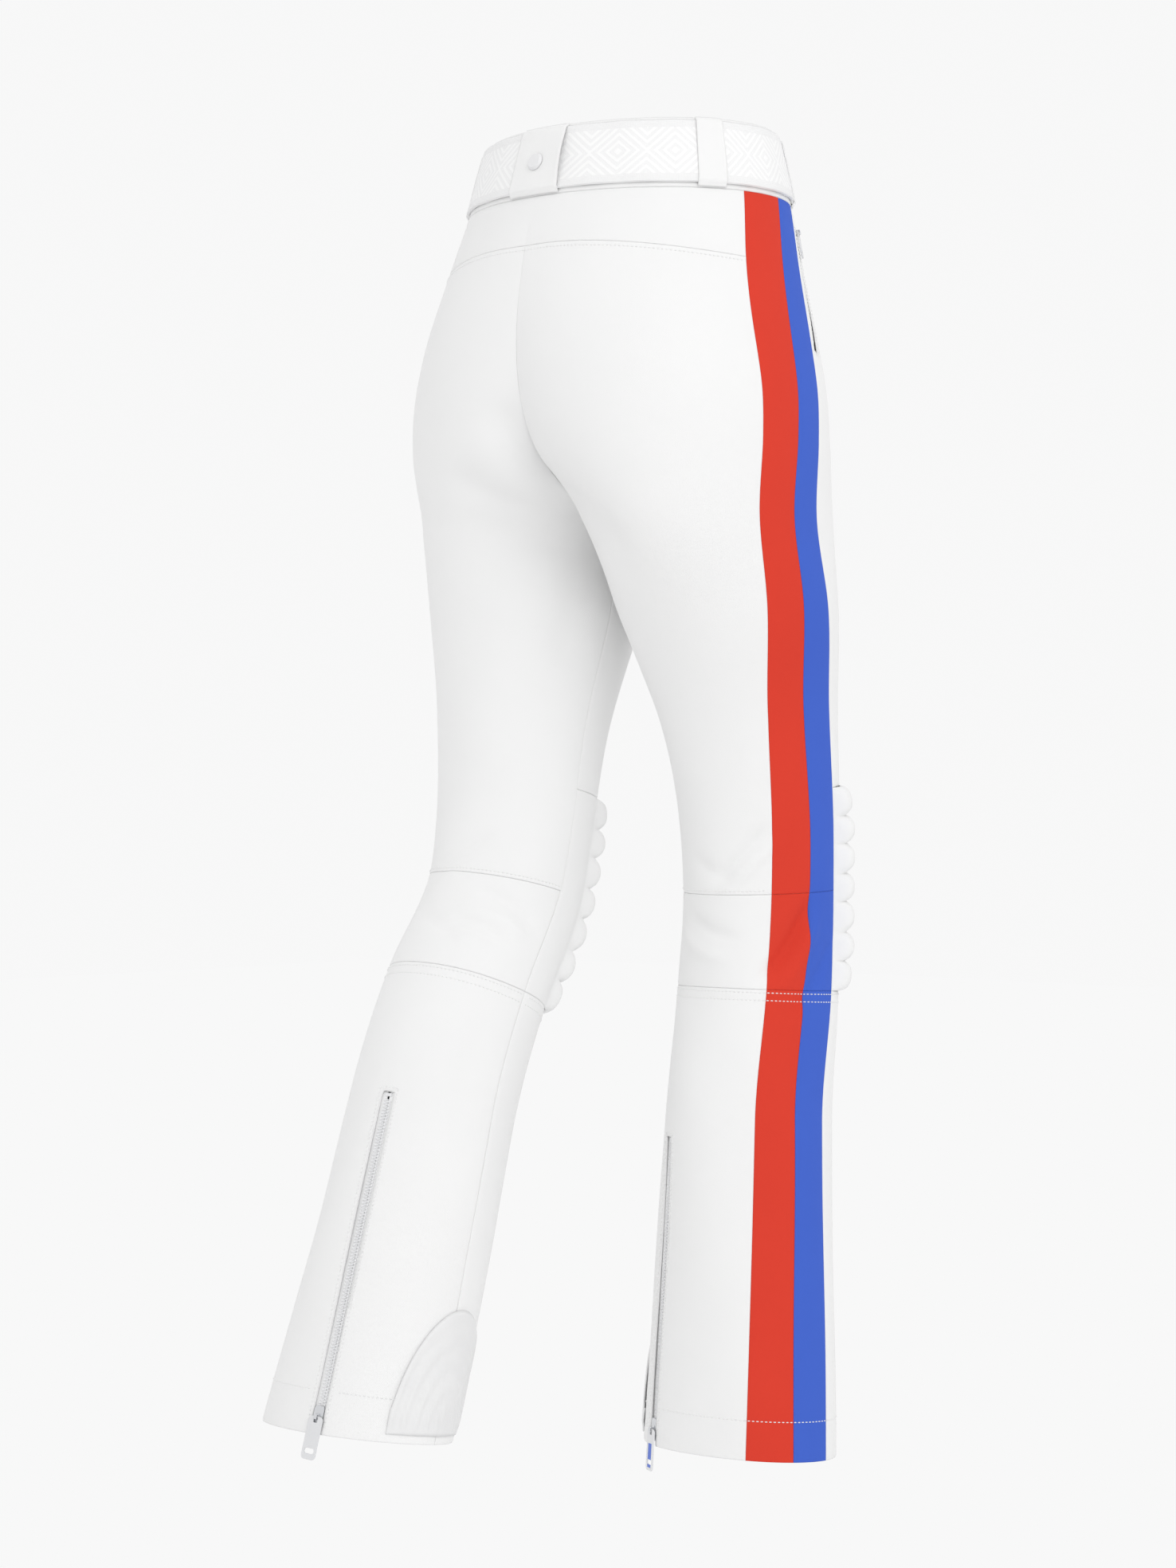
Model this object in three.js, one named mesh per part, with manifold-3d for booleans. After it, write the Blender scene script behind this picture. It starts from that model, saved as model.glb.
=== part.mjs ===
// Ski pants, worn shape, held up at the waist. Millimetres, +Z up, front towards -Y, the wearer's left
// towards +X. The origin is the middle of the waist opening, level with the top of the waistband.
import * as THREE from 'three';
import { mergeVertices } from 'three/addons/utils/BufferGeometryUtils.js';
import Module from 'manifold-3d';

const wasm = await Module();
wasm.setup();

// Cloth and general clearances
const CLOTH = 2.0; // thickness of the laminated shell cloth
const GAP = 0.5; // air left between pieces that are sewn edge to edge
const LAYER_GAP = 0.5; // air left between pieces that lie face to face
const LAP = 5; // how far a cutter reaches past what it cuts
const BITE = 0.1; // how far joined blocks run into each other

// Heights, each measured down from the waist
const WAISTBAND_HEIGHT = 56;
const YOKE_DROP_BACK = 95; // yoke seam at the middle of the back
const YOKE_DROP_SIDE = 110; // yoke seam where it meets the side stripe
const CROTCH_DROP = 300;
const PAD_TOP_DROP = 512;
const KNEE_TOP_DROP = 592; // seam above the back of the knee
const KNEE_BOTTOM_DROP = 669; // seam below the knee, all round
const KNEE_PIVOT_DROP = 632;

// Stripes
const RED_WIDTH = 33;
const BLUE_WIDTH = 33;
const RED_WAIST_EXTRA = 8; // the red stripe is this much wider at the waist, down to the thigh

// Waist fittings
const FACING = 1.2;
const BELT = 2.6; // thickness of the webbing
const BELT_TOP = 3; // the belt's upper edge, down from the waist
const BELT_WIDTH = WAISTBAND_HEIGHT - 2 * BELT_TOP;
const LOOP = 1.5; // thickness of a belt loop's tape
const LOOP_WIDTH = 24;
const BACK_LOOP_WIDTH = 44;
const BACK_LOOP_SHARE = 0.36; // loops beside the back, as a share of half the way round from the back
const FRONT_LOOP_SHARE = 0.72;
const LOOP_CUT_SHARE = 0.05; // how far the cutter for a loop reaches past its sides
const BAND_OPEN_SHARE = 0.0125; // the waistband stops this short of the middle of the front
const BELT_OPEN_SHARE = 0.04; // the belt's ends stop under the buckle
const LOOP_HEIGHT = 2 * LAYER_GAP + BELT + LOOP; // a loop's outside above the waistband
const BUCKLE_WIDTH = 46;
const BUCKLE = 3; // thickness of each of its plates
const BUCKLE_STAND = 2; // between the belt and the plates
const BUCKLE_MARGIN = 3; // the plates are this much shorter than the belt is wide, at each edge
const BUCKLE_STEM = { halfWidth: 7, inset: 6, bite: 0.5 };
const LEVER_INSET = { side: 8, free: 1, edge: 4 }; // the lever's edges inside the plate's
const SNAP_RADIUS = 7;
const SNAP_TOP_RADIUS = 5.6;
const SNAP = 2;
const SNAP_SHARE = 0.55; // how far down the belt's width the snap sits

// Zips: sizes shared by every slider and chain
const ZIP_SLIT = 11; // the opening in the shell that shows the chain
const TAPE = 1.0;
const TEETH_WIDTH = 6;
const TEETH = 2.2;
const CHAIN_SLOT = 1.8; // the line where the two rows of teeth meet
const CHAIN_END = 5; // length of the end that stays joined
const SLIDER_PLATE = 1.2;
const SLIDER_GAP = 0.5;
const SLIDER_POST = 0.9;
const LUG = 1.0; // wall of the bridge that holds the pull
const EYE = 1.9; // side of the square hole under the bridge
const BRIDGE_HALF_WIDTH = 1.2;
const EYE_SHARE = 0.5; // the bridge's place along the slider
const POST_SHARE = 0.55; // the post runs from here to just short of the slider's end
const POST_END = 1;
const PULL_BAR = 1.0;
const WINDOW_CLEAR = { side: 0.6, end: 1.4 }; // air between the bridge and the pull's window
const PULL_SLOT = { from: 0.35, halfWidth: 0.33, height: 0.3 }; // shares of the pull's width

// Each zip: width across both tapes, its slider's width and length, its pull's, and how far the slider
// stands from the end of the chain it is shut against
const LEG_ZIP = { tape: 22, width: 9, length: 17, pullWidth: 13, pullLength: 32, rest: 1 };
const FLY_ZIP = { tape: 22, width: 8, length: 12, pullWidth: 9, pullLength: 20, rest: 14 };
const POCKET_ZIP = { tape: 20, width: 8, length: 11, pullWidth: 8, pullLength: 22, rest: 18 };
const FLY_FACING_MARGIN = 4; // how far the fly's facing reaches past the tapes
const FLY_TOP_DROP = 62;
const FLY_BOTTOM_DROP = 190;
const POCKET_TOP_DROP = 66;
const POCKET_BOTTOM_DROP = 176;
const POCKET_ZIP_STEP = 5; // from the stripe's edge to the slit
const LEG_ZIP_LENGTH = 236;
const LEG_ZIP_HEM = 3; // from the bottom of the chain to the hem's edge
const ZIP_DEPTH = CLOTH + 2.9; // chain's mid-plane below the outside of the cloth
const FLY_DEPTH = CLOTH + 1.8; // the same for the fly, where the cloth is flat across
const EYE_HEIGHT = 0.9; // the square hole's floor above the outside of the cloth

// Knee pads, scuff guards, gaiters and pocket bags
const PAD = 8; // how far a knee pad stands out
const GUARD = 1.2;
const GUARD_HEIGHT = 92;
const GUARD_HEM = 6;
const GUARD_FROM = -48; // degrees round the leg
const GUARD_TO = 36;
const GUARD_END_SHARE = 0.2; // height at the arch's ends, as a share of its middle
const GAITER_DEPTH = 11;
const GAITER = 1.2;
const GAITER_ABOVE_ZIP = 22;
const GAITER_HEM = 42;
const GAITER_OPEN = 2; // degrees between its ends at the inner seam and the seam itself
const GAITER_ROOT_SHARE = 0.05; // the part at its top that lies against the shell
const BAG_DEPTH = 11;
const BAG_WIDTH_DEGREES = 40;
const BAG_BELOW_ZIP = 70;
const BAG_ROOT = 14; // how far it reaches up behind the waistband's facing
const BAG_ROOT_SHARE = [0.02, 0.09]; // where it starts and ends leaving the shell
const FACING_INSET = 2; // the waistband's facing inside the waistband's edges

// How each half is shaped. A station is a level section, an ellipse round the leg's own axis, cut off at
// the middle plane above the crotch: drop, axis out from the middle, half width, axis back, half depth,
// and the tilt of the section, its back up, in degrees.
const HIPS = [
  [0, 0, 126, 3, 97, 0],
  [50, 0, 138, 5.5, 109.5, 0],
  [105, 18, 134, 12, 117, 0],
  [165, 38, 130, 17.5, 123.5, 0],
  [210, 52, 124, 19, 124, 0],
  [245, 64, 113, 18, 121, 0],
  [CROTCH_DROP, 86, 86, 10, 112, 0],
];
const RIGHT_LEG = [
  [375, 86, 84, -15, 89, -3],
  [455, 85, 68, -40, 73, -4],
  [550, 85, 62, -56, 64, -3],
  [KNEE_TOP_DROP, 85, 61, -58, 63, -2],
  [KNEE_BOTTOM_DROP, 85, 63, -53, 64, 3],
  [770, 87, 65, -39, 66, 4],
  [1026, 92, 82, -20, 64, 4],
];
const LEFT_LEG = [
  [375, 86, 81, 22, 89, 5],
  [455, 85, 68, 36, 72, 8],
  [550, 84, 62, 50, 63, 12],
  [KNEE_TOP_DROP, 83, 61, 61, 62, 15],
  [KNEE_BOTTOM_DROP, 83, 64, 105, 63, 22],
  [764, 86, 65, 141, 66, 20],
  [1004, 95, 82, 212, 64, 8],
];

// Which way each leg is turned, and where its seams run, in degrees round the leg from the inner side:
// 90 is the back, 180 the outer side and 270 the front.
// The turn is the seam between the stripes, forward of the outer side, at the thigh and then at the hem.
const RIGHT = {
  name: 'right', sign: -1, stations: [...HIPS, ...RIGHT_LEG], turn: -10, hemTurn: -24, zipAt: 60,
};
const LEFT = { name: 'left', sign: 1, stations: [...HIPS, ...LEFT_LEG], turn: 8, hemTurn: 8, zipAt: 78 };
const SIDE_TURN_WAIST = 12;
const SIDE_TURN_HIP = 4;
const TURN_DROPS = { hip: 165, thighFrom: 200, thigh: 455 }; // where the turn changes

const COLOURS = {
  white: 0xf1f1ef,
  red: 0xd8412f,
  blue: 0x4668cb,
  grey: 0xd9dade,
  lining: 0xc9ccd2,
  metal: 0xb9bcc2,
};

const pants = new THREE.Group();
const hemDrop = (half) => half.stations.at(-1)[0];
const rad = THREE.MathUtils.degToRad;

function addNode(name, geometry, colour, metalness = 0) {
  const roughness = metalness ? 0.35 : 0.85;
  const material = new THREE.MeshStandardMaterial({ color: COLOURS[colour], roughness, metalness });
  const mesh = new THREE.Mesh(geometry, material);
  mesh.name = name;
  pants.add(mesh);
  return mesh;
}

// A smooth curve through one column of the stations, straight from the last station but one to the hem
function along(stations, drop, column) {
  let i = 0;
  while (i < stations.length - 2 && drop > stations[i + 1][0]) i += 1;
  const rise = (k) => stations[k + 1][column] - stations[k][column];
  const slope = (k) => rise(k) / (stations[k + 1][0] - stations[k][0]);
  const last = stations.length - 2;
  const tangent = (k) => {
    if (k === 0) return slope(0);
    if (k >= last) return slope(last);
    const before = stations[k][0] - stations[k - 1][0];
    const after = stations[k + 1][0] - stations[k][0];
    return (slope(k - 1) * after + slope(k) * before) / (before + after);
  };
  const width = stations[i + 1][0] - stations[i][0];
  const t = (drop - stations[i][0]) / width;
  const t2 = t * t;
  const t3 = t2 * t;
  return (2 * t3 - 3 * t2 + 1) * stations[i][column] + (t3 - 2 * t2 + t) * width * tangent(i)
    + (3 * t2 - 2 * t3) * stations[i + 1][column] + (t3 - t2) * width * tangent(i + 1);
}

function section(half, drop) {
  const [out, width, back, depth, tilt] = [1, 2, 3, 4, 5].map((c) => along(half.stations, drop, c));
  return { out, width, back, depth, tilt: rad(tilt) };
}

// Degrees round the leg at which a section meets a plane at this distance from the middle
function middleAngle(half, drop, clear = GAP / 2) {
  const { out, width } = section(half, drop);
  return THREE.MathUtils.radToDeg(Math.acos(Math.min(1, (out - clear) / width)));
}

function surfacePoint(half, drop, degrees) {
  const { out, width, back, depth, tilt } = section(half, drop);
  const x = out - width * Math.cos(rad(degrees));
  const reach = depth * Math.sin(rad(degrees));
  return new THREE.Vector3(half.sign * x, back + reach * Math.cos(tilt), -drop + reach * Math.sin(tilt));
}

function surfaceNormal(half, drop, degrees) {
  const step = 0.5;
  const round = surfacePoint(half, drop, degrees + step).sub(surfacePoint(half, drop, degrees - step));
  const down = surfacePoint(half, drop + step, degrees).sub(surfacePoint(half, drop - step, degrees));
  return round.cross(down).multiplyScalar(half.sign).normalize();
}

// Degrees that a length of cloth takes up near the outer side of the leg
function degreesFor(half, drop, length) {
  return THREE.MathUtils.radToDeg(length / section(half, drop).depth);
}

function gapDegrees(half, drop, degrees) {
  const reach = surfacePoint(half, drop, degrees + 0.5).distanceTo(surfacePoint(half, drop, degrees - 0.5));
  return GAP / 2 / reach;
}

// Seam lines: each gives degrees round the leg at a drop
const seams = {
  centreBack: (half, drop) => middleAngle(half, drop),
  centreFront: (half, drop) => 360 - middleAngle(half, drop),
  colour(half, drop) {
    const waist = THREE.MathUtils.smoothstep(drop, 0, TURN_DROPS.hip);
    const hip = THREE.MathUtils.smoothstep(drop, TURN_DROPS.thighFrom, TURN_DROPS.thigh);
    const shin = Math.max(0, (drop - TURN_DROPS.thigh) / (hemDrop(half) - TURN_DROPS.thigh));
    const turn = THREE.MathUtils.lerp(SIDE_TURN_WAIST, SIDE_TURN_HIP, waist);
    return 180 + THREE.MathUtils.lerp(turn, THREE.MathUtils.lerp(half.turn, half.hemTurn, shin), hip);
  },
  redBack(half, drop) {
    const taper = 1 - THREE.MathUtils.smoothstep(drop, YOKE_DROP_SIDE, TURN_DROPS.thigh);
    return seams.colour(half, drop) - degreesFor(half, drop, RED_WIDTH + RED_WAIST_EXTRA * taper);
  },
  blueFront: (half, drop) => seams.colour(half, drop) + degreesFor(half, drop, BLUE_WIDTH),
};

function yokeDrop(half, degrees) {
  const share = THREE.MathUtils.smoothstep(degrees, 90, 180);
  return THREE.MathUtils.lerp(YOKE_DROP_BACK, YOKE_DROP_SIDE, share);
}

function turnedOutward(geometry) {
  const merged = solidGeometry(geometry);
  const p = merged.attributes.position;
  const index = merged.index.array;
  const [a, b, c] = [0, 1, 2].map(() => new THREE.Vector3());
  let volume = 0;
  for (let i = 0; i < index.length; i += 3) {
    a.fromBufferAttribute(p, index[i]);
    b.fromBufferAttribute(p, index[i + 1]);
    c.fromBufferAttribute(p, index[i + 2]);
    volume += a.dot(b.cross(c));
  }
  if (volume < 0) {
    for (let i = 0; i < index.length; i += 3) [index[i], index[i + 1]] = [index[i + 1], index[i]];
  }
  return merged;
}

function solidGeometry(geometry) {
  const bare = geometry.clone();
  bare.deleteAttribute('normal');
  bare.deleteAttribute('uv');
  return mergeVertices(bare, 1e-4);
}

function toManifold(geometry) {
  const g = turnedOutward(geometry);
  const vertProperties = new Float32Array(g.attributes.position.array);
  const triVerts = new Uint32Array(g.index.array);
  return new wasm.Manifold(new wasm.Mesh({ numProp: 3, vertProperties, triVerts }));
}

function fromManifold(solid) {
  const mesh = solid.getMesh();
  const geometry = new THREE.BufferGeometry();
  geometry.setAttribute('position', new THREE.BufferAttribute(new Float32Array(mesh.vertProperties), 3));
  geometry.setIndex(new THREE.BufferAttribute(new Uint32Array(mesh.triVerts), 1));
  return geometry;
}

function cut(geometry, ...cutters) {
  const whole = toManifold(geometry);
  return fromManifold(cutters.reduce((solid, cutter) => solid.subtract(toManifold(cutter)), whole));
}

function join(...geometries) {
  return fromManifold(geometries.map(toManifold).reduce((solid, next) => solid.add(next)));
}

function box(x0, x1, y0, y1, z0, z1) {
  const geometry = new THREE.BoxGeometry(x1 - x0, y1 - y0, z1 - z0);
  return geometry.translate((x0 + x1) / 2, (y0 + y1) / 2, (z0 + z1) / 2);
}

// A piece of cloth on one half: from and to are degrees round the leg, top and bottom are drops, and each
// may be a function. inner and outer are heights above the cloth's outside, at a share of the way down.
function cloth(half, {
  from, to, top, bottom, inner = -CLOTH, outer = 0, across = 8, down = 10, gap = true,
}) {
  const at = (value, ...args) => (typeof value === 'function' ? value(...args) : value);
  const geometry = new THREE.BoxGeometry(1, 1, 1, across, down, 1);
  const p = geometry.attributes.position;
  for (let i = 0; i < p.count; i += 1) {
    const u = p.getX(i) + 0.5;
    const w = 0.5 - p.getY(i);
    const level = THREE.MathUtils.lerp(at(top, half, 180), at(bottom, half, 180), w);
    const guess = THREE.MathUtils.lerp(at(from, half, level), at(to, half, level), u);
    const share = gap ? GAP / 2 : 0;
    const drop = THREE.MathUtils.lerp(at(top, half, guess) + share, at(bottom, half, guess) - share, w);
    const start = at(from, half, drop);
    const end = at(to, half, drop);
    const inset = gap ? [gapDegrees(half, drop, start), gapDegrees(half, drop, end)] : [0, 0];
    const degrees = THREE.MathUtils.lerp(start + inset[0], end - inset[1], u);
    const height = p.getZ(i) > 0 ? at(outer, w) : at(inner, w);
    const point = surfacePoint(half, drop, degrees);
    point.addScaledVector(surfaceNormal(half, drop, degrees), height);
    p.setXYZ(i, point.x, point.y, point.z);
  }
  return turnedOutward(geometry);
}

// A band right round the waist, from the middle of the front, past the back, to the front again. The ends
// stop this share of half the way round short of the middle of the front.
function band({ top, bottom, inner, outer, from = -1, to = 1, across = 40, down = 2 }) {
  const at = (value, ...args) => (typeof value === 'function' ? value(...args) : value);
  const geometry = new THREE.BoxGeometry(1, 1, 1, across, down, 1);
  const p = geometry.attributes.position;
  for (let i = 0; i < p.count; i += 1) {
    const w = 0.5 - p.getY(i);
    const level = THREE.MathUtils.lerp(at(top, LEFT, 180), at(bottom, LEFT, 180), w);
    const round = THREE.MathUtils.lerp(at(from, level), at(to, level), p.getX(i) + 0.5);
    const half = round < 0 ? RIGHT : LEFT;
    const degreesAt = (drop) => {
      const middle = middleAngle(half, drop, 0);
      return middle + Math.abs(round) * (360 - 2 * middle);
    };
    const degrees = degreesAt(level);
    const drop = THREE.MathUtils.lerp(at(top, half, degrees), at(bottom, half, degrees), w);
    const placed = degreesAt(drop);
    const normal = surfaceNormal(half, drop, placed);
    if (Math.abs(round) < 1e-6) normal.setX(0).normalize();
    const point = surfacePoint(half, drop, placed);
    point.addScaledVector(normal, p.getZ(i) > 0 ? outer : inner);
    p.setXYZ(i, point.x, point.y, point.z);
  }
  return turnedOutward(geometry);
}

// A frame on the cloth: x across, y out of the cloth and z up along a straight line between two points,
// each a drop and degrees round the leg. One in the middle plane faces straight forward.
function frameOn(half, [topDrop, degreesTop], [bottomDrop, degreesBottom], depth, inMiddle = false) {
  const top = surfacePoint(half, topDrop, degreesTop);
  const bottom = surfacePoint(half, bottomDrop, degreesBottom);
  const up = top.clone().sub(bottom);
  const length = up.length();
  up.normalize();
  const normal = surfaceNormal(half, (topDrop + bottomDrop) / 2, (degreesTop + degreesBottom) / 2);
  normal.addScaledVector(up, -normal.dot(up)).normalize();
  if (inMiddle) normal.setX(0).normalize();
  const across = new THREE.Vector3().crossVectors(normal, up);
  const middle = new THREE.Matrix4().makeBasis(across, normal, up);
  const origin = bottom.addScaledVector(normal, -depth);
  return { matrix: middle.setPosition(origin), length, across, normal, up };
}

function zipChain(size, length, openAtTop) {
  const tapes = box(-size.tape / 2, size.tape / 2, -TAPE / 2, TAPE / 2, 0, length);
  const teeth = box(-TEETH_WIDTH / 2, TEETH_WIDTH / 2, -TEETH / 2, TEETH / 2, 0, length);
  const from = openAtTop ? CHAIN_END : -LAP;
  const to = openAtTop ? length + LAP : length - CHAIN_END;
  const slot = box(-CHAIN_SLOT / 2, CHAIN_SLOT / 2, -LAP, LAP, from, to);
  return cut(join(tapes, teeth), slot);
}

// Two plates either side of the teeth, a post between them and a square bridge for the pull
function zipSlider(size) {
  const inner = TEETH / 2 + SLIDER_GAP;
  const outer = inner + SLIDER_PLATE;
  const [w, l] = [size.width / 2, size.length];
  const eyeFloor = ZIP_DEPTH + EYE_HEIGHT;
  const bridge = { w: EYE + LUG, y: eyeFloor + EYE + LUG };
  const plates = [
    box(-w, w, inner, outer, 0, l),
    box(-w, w, -outer, -inner, 0, l),
    box(-SLIDER_POST / 2, SLIDER_POST / 2, BITE - outer, outer - BITE, l * POST_SHARE, l - POST_END),
  ];
  const eyeZ = l * EYE_SHARE;
  const half = BRIDGE_HALF_WIDTH;
  const arch = box(-half, half, outer - BITE, bridge.y, eyeZ - bridge.w, eyeZ + bridge.w);
  const eye = box(-LAP, LAP, eyeFloor, eyeFloor + EYE, eyeZ - EYE / 2, eyeZ + EYE / 2);
  return join(...plates, cut(arch, eye));
}

// A flat tab with a bar through the slider's bridge, its slot further down
function zipPull(size) {
  const barY = ZIP_DEPTH + EYE_HEIGHT + EYE / 2;
  const z = size.length * EYE_SHARE;
  const end = z - size.pullLength;
  const plate = box(-size.pullWidth / 2, size.pullWidth / 2, barY - PULL_BAR / 2, barY + PULL_BAR / 2,
    end, z + PULL_BAR / 2);
  const windowHalf = BRIDGE_HALF_WIDTH + WINDOW_CLEAR.side;
  const windowEnd = z - EYE - LUG - WINDOW_CLEAR.end;
  const window = box(-windowHalf, windowHalf, -LAP, LAP + barY, windowEnd, z - PULL_BAR / 2);
  const slotHalf = size.pullWidth * PULL_SLOT.halfWidth;
  const slotZ = end + size.pullWidth * PULL_SLOT.from;
  const slot = box(-slotHalf, slotHalf, 0, LAP + barY, slotZ, slotZ + size.pullWidth * PULL_SLOT.height);
  return cut(plate, window, slot);
}

function placed(geometry, matrix) {
  return geometry.clone().applyMatrix4(matrix);
}

// The zip's slit in the shell, as a cutter
function zipSlit(frame, below, above) {
  const [inside, outside] = [3 * LAP, 4 * LAP];
  const slit = box(-ZIP_SLIT / 2, ZIP_SLIT / 2, -inside, outside, -below, frame.length + above);
  return placed(slit, frame.matrix);
}

function addZip(name, frame, size, { openAtTop, sliderAt }) {
  addNode(`${name}_zip_tapes`, placed(zipChain(size, frame.length, openAtTop), frame.matrix), 'white');
  const lift = new THREE.Matrix4().makeTranslation(0, 0, sliderAt);
  const at = frame.matrix.clone().multiply(lift);
  addNode(`${name}_zip_slider`, placed(zipSlider(size), at), 'metal', 0.8);
  addNode(`${name}_zip_pull`, placed(zipPull(size), at), 'grey');
}

const flyEnd = (drop) => [drop, 360 - middleAngle(RIGHT, drop, 0)];
const flyFrame = frameOn(RIGHT, flyEnd(FLY_TOP_DROP), flyEnd(FLY_BOTTOM_DROP), FLY_DEPTH, true);

function pocketFrame(half) {
  const step = ZIP_SLIT / 2 + POCKET_ZIP_STEP;
  const end = (drop) => [drop, seams.blueFront(half, drop) + degreesFor(half, drop, step)];
  return frameOn(half, end(POCKET_TOP_DROP), end(POCKET_BOTTOM_DROP), ZIP_DEPTH);
}

function legFrame(half) {
  const bottom = hemDrop(half) - LEG_ZIP_HEM;
  return frameOn(half, [bottom - LEG_ZIP_LENGTH, half.zipAt], [bottom, half.zipAt], ZIP_DEPTH);
}

// The waist: outer band, facing, belt, buckle and loops
function addWaist() {
  const outer = { top: 0, bottom: WAISTBAND_HEIGHT - GAP / 2 };
  const end = 1 - BAND_OPEN_SHARE;
  addNode('waistband', band({ ...outer, inner: -CLOTH, outer: 0, from: -end, to: end }), 'white');
  const facingTop = -CLOTH - LAYER_GAP;
  addNode('waistband_facing', band({
    top: FACING_INSET, bottom: WAISTBAND_HEIGHT - FACING_INSET,
    inner: facingTop - FACING, outer: facingTop, from: -end, to: end,
  }), 'lining');
  const beltEnd = 1 - BELT_OPEN_SHARE;
  addNode('belt', band({
    top: BELT_TOP, bottom: BELT_TOP + BELT_WIDTH,
    inner: LAYER_GAP, outer: LAYER_GAP + BELT, from: -beltEnd, to: beltEnd,
  }), 'grey');
  addBuckle();
  addLoops();
}

// The hook buckle at the front: a plate that holds both belt ends, and a lever that shuts over it
function addBuckle() {
  const middle = BELT_TOP + BELT_WIDTH / 2;
  const front = surfacePoint(...[RIGHT, ...flyEnd(middle)]).y - LAYER_GAP - BELT;
  const height = BELT_WIDTH / 2 - BUCKLE_MARGIN;
  const half = BUCKLE_WIDTH / 2;
  const back = front - BUCKLE_STAND - BUCKLE;
  const base = box(-half, half, back - BUCKLE, back, -middle - height, -middle + height);
  const over = back - BUCKLE - LAYER_GAP;
  const leverHeight = height - LEVER_INSET.edge;
  const lever = box(-half + LEVER_INSET.side, half - LEVER_INSET.free, over - BUCKLE, over,
    -middle - leverHeight, -middle + leverHeight);
  const { halfWidth, inset, bite } = BUCKLE_STEM;
  const backPlate = box(-halfWidth, halfWidth, back - bite, front,
    -middle - height + inset, -middle + height - inset);
  addNode('belt_buckle_base', join(base, backPlate), 'grey');
  addNode('belt_buckle_lever', lever, 'grey');
}

// A loop: a tape over the belt, turned in above and below it
function beltLoop(round, width) {
  const halfShare = width / 2 / halfGirth();
  const [from, to] = [round - halfShare, round + halfShare];
  const tape = band({
    top: GAP / 2, bottom: WAISTBAND_HEIGHT - GAP, inner: GAP, outer: LOOP_HEIGHT, from, to, across: 3,
  });
  const room = band({
    top: BELT_TOP - GAP, bottom: BELT_TOP + BELT_WIDTH + GAP, inner: -LAP, outer: LOOP_HEIGHT - LOOP,
    from: from - LOOP_CUT_SHARE, to: to + LOOP_CUT_SHARE, across: 4,
  });
  return cut(tape, room);
}

// Half the length round the waist, at the middle of the belt
function halfGirth() {
  const steps = 24;
  const drop = BELT_TOP + BELT_WIDTH / 2;
  const start = middleAngle(LEFT, drop, 0);
  const points = Array.from({ length: steps + 1 }, (_, i) =>
    surfacePoint(LEFT, drop, THREE.MathUtils.lerp(start, 360 - start, i / steps)));
  return points.slice(1).reduce((sum, point, i) => sum + point.distanceTo(points[i]), 0);
}

function addLoops() {
  for (const { name, sign } of [LEFT, RIGHT]) {
    addNode(`${name}_back_belt_loop`, beltLoop(sign * BACK_LOOP_SHARE, LOOP_WIDTH), 'white');
    addNode(`${name}_front_belt_loop`, beltLoop(sign * FRONT_LOOP_SHARE, LOOP_WIDTH), 'white');
  }
  addNode('centre_back_loop', beltLoop(0, BACK_LOOP_WIDTH), 'white');
  const drop = BELT_TOP + BELT_WIDTH * SNAP_SHARE;
  const back = middleAngle(LEFT, drop, 0);
  const out = surfaceNormal(LEFT, drop, back).setX(0).normalize();
  const across = new THREE.Vector3(1, 0, 0);
  const height = LOOP_HEIGHT + GAP + SNAP / 2;
  const at = surfacePoint(LEFT, drop, back).addScaledVector(out, height);
  const turned = new THREE.Matrix4().makeBasis(across, out, new THREE.Vector3().crossVectors(across, out));
  const snap = new THREE.CylinderGeometry(SNAP_TOP_RADIUS, SNAP_RADIUS, SNAP, 20);
  addNode('centre_back_snap', turnedOutward(placed(snap, turned.setPosition(at))), 'metal', 0.8);
}

// Seat, thighs and stripes above the knee, on one half
function addThigh(half) {
  addNode(`${half.name}_back_panel`, cloth(half, {
    from: seams.centreBack, to: seams.redBack, top: yokeDrop, bottom: KNEE_TOP_DROP, across: 8, down: 18,
  }), 'white');
  const slits = [zipSlit(pocketFrame(half), 0, 0), zipSlit(flyFrame, 0, LAP * 2)];
  addNode(`${half.name}_front_panel`, cut(cloth(half, {
    from: seams.blueFront, to: seams.centreFront, top: WAISTBAND_HEIGHT, bottom: PAD_TOP_DROP,
    across: 7, down: 17,
  }), ...slits), 'white');
  const stripes = { red: [seams.redBack, seams.colour], blue: [seams.colour, seams.blueFront] };
  const lengths = {
    thigh: { top: WAISTBAND_HEIGHT, bottom: KNEE_TOP_DROP, down: 20 },
    knee: { top: KNEE_TOP_DROP, bottom: KNEE_BOTTOM_DROP, down: 4 },
    shin: { top: KNEE_BOTTOM_DROP, bottom: hemDrop(half), down: 10 },
  };
  for (const [colour, [from, to]] of Object.entries(stripes)) {
    for (const [part, reach] of Object.entries(lengths)) {
      const name = `${half.name}_${colour}_${part}_stripe`;
      addNode(name, cloth(half, { from, to, ...reach, across: 2 }), colour);
    }
  }
}

// The knee: a plain panel behind and a quilted pad in front, from seam to seam
function addKnee(half) {
  addNode(`${half.name}_knee_back`, cloth(half, {
    from: 0, to: seams.redBack, top: KNEE_TOP_DROP, bottom: KNEE_BOTTOM_DROP, across: 8, down: 4,
  }), 'white');
  const swell = (w) => PAD * Math.sqrt(Math.max(0, Math.sin(Math.PI * w)));
  addNode(`${half.name}_knee_pad`, cloth(half, {
    from: seams.blueFront, to: 360, top: PAD_TOP_DROP, bottom: KNEE_BOTTOM_DROP, outer: swell,
    across: 8, down: 10,
  }), 'white');
}

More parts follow.
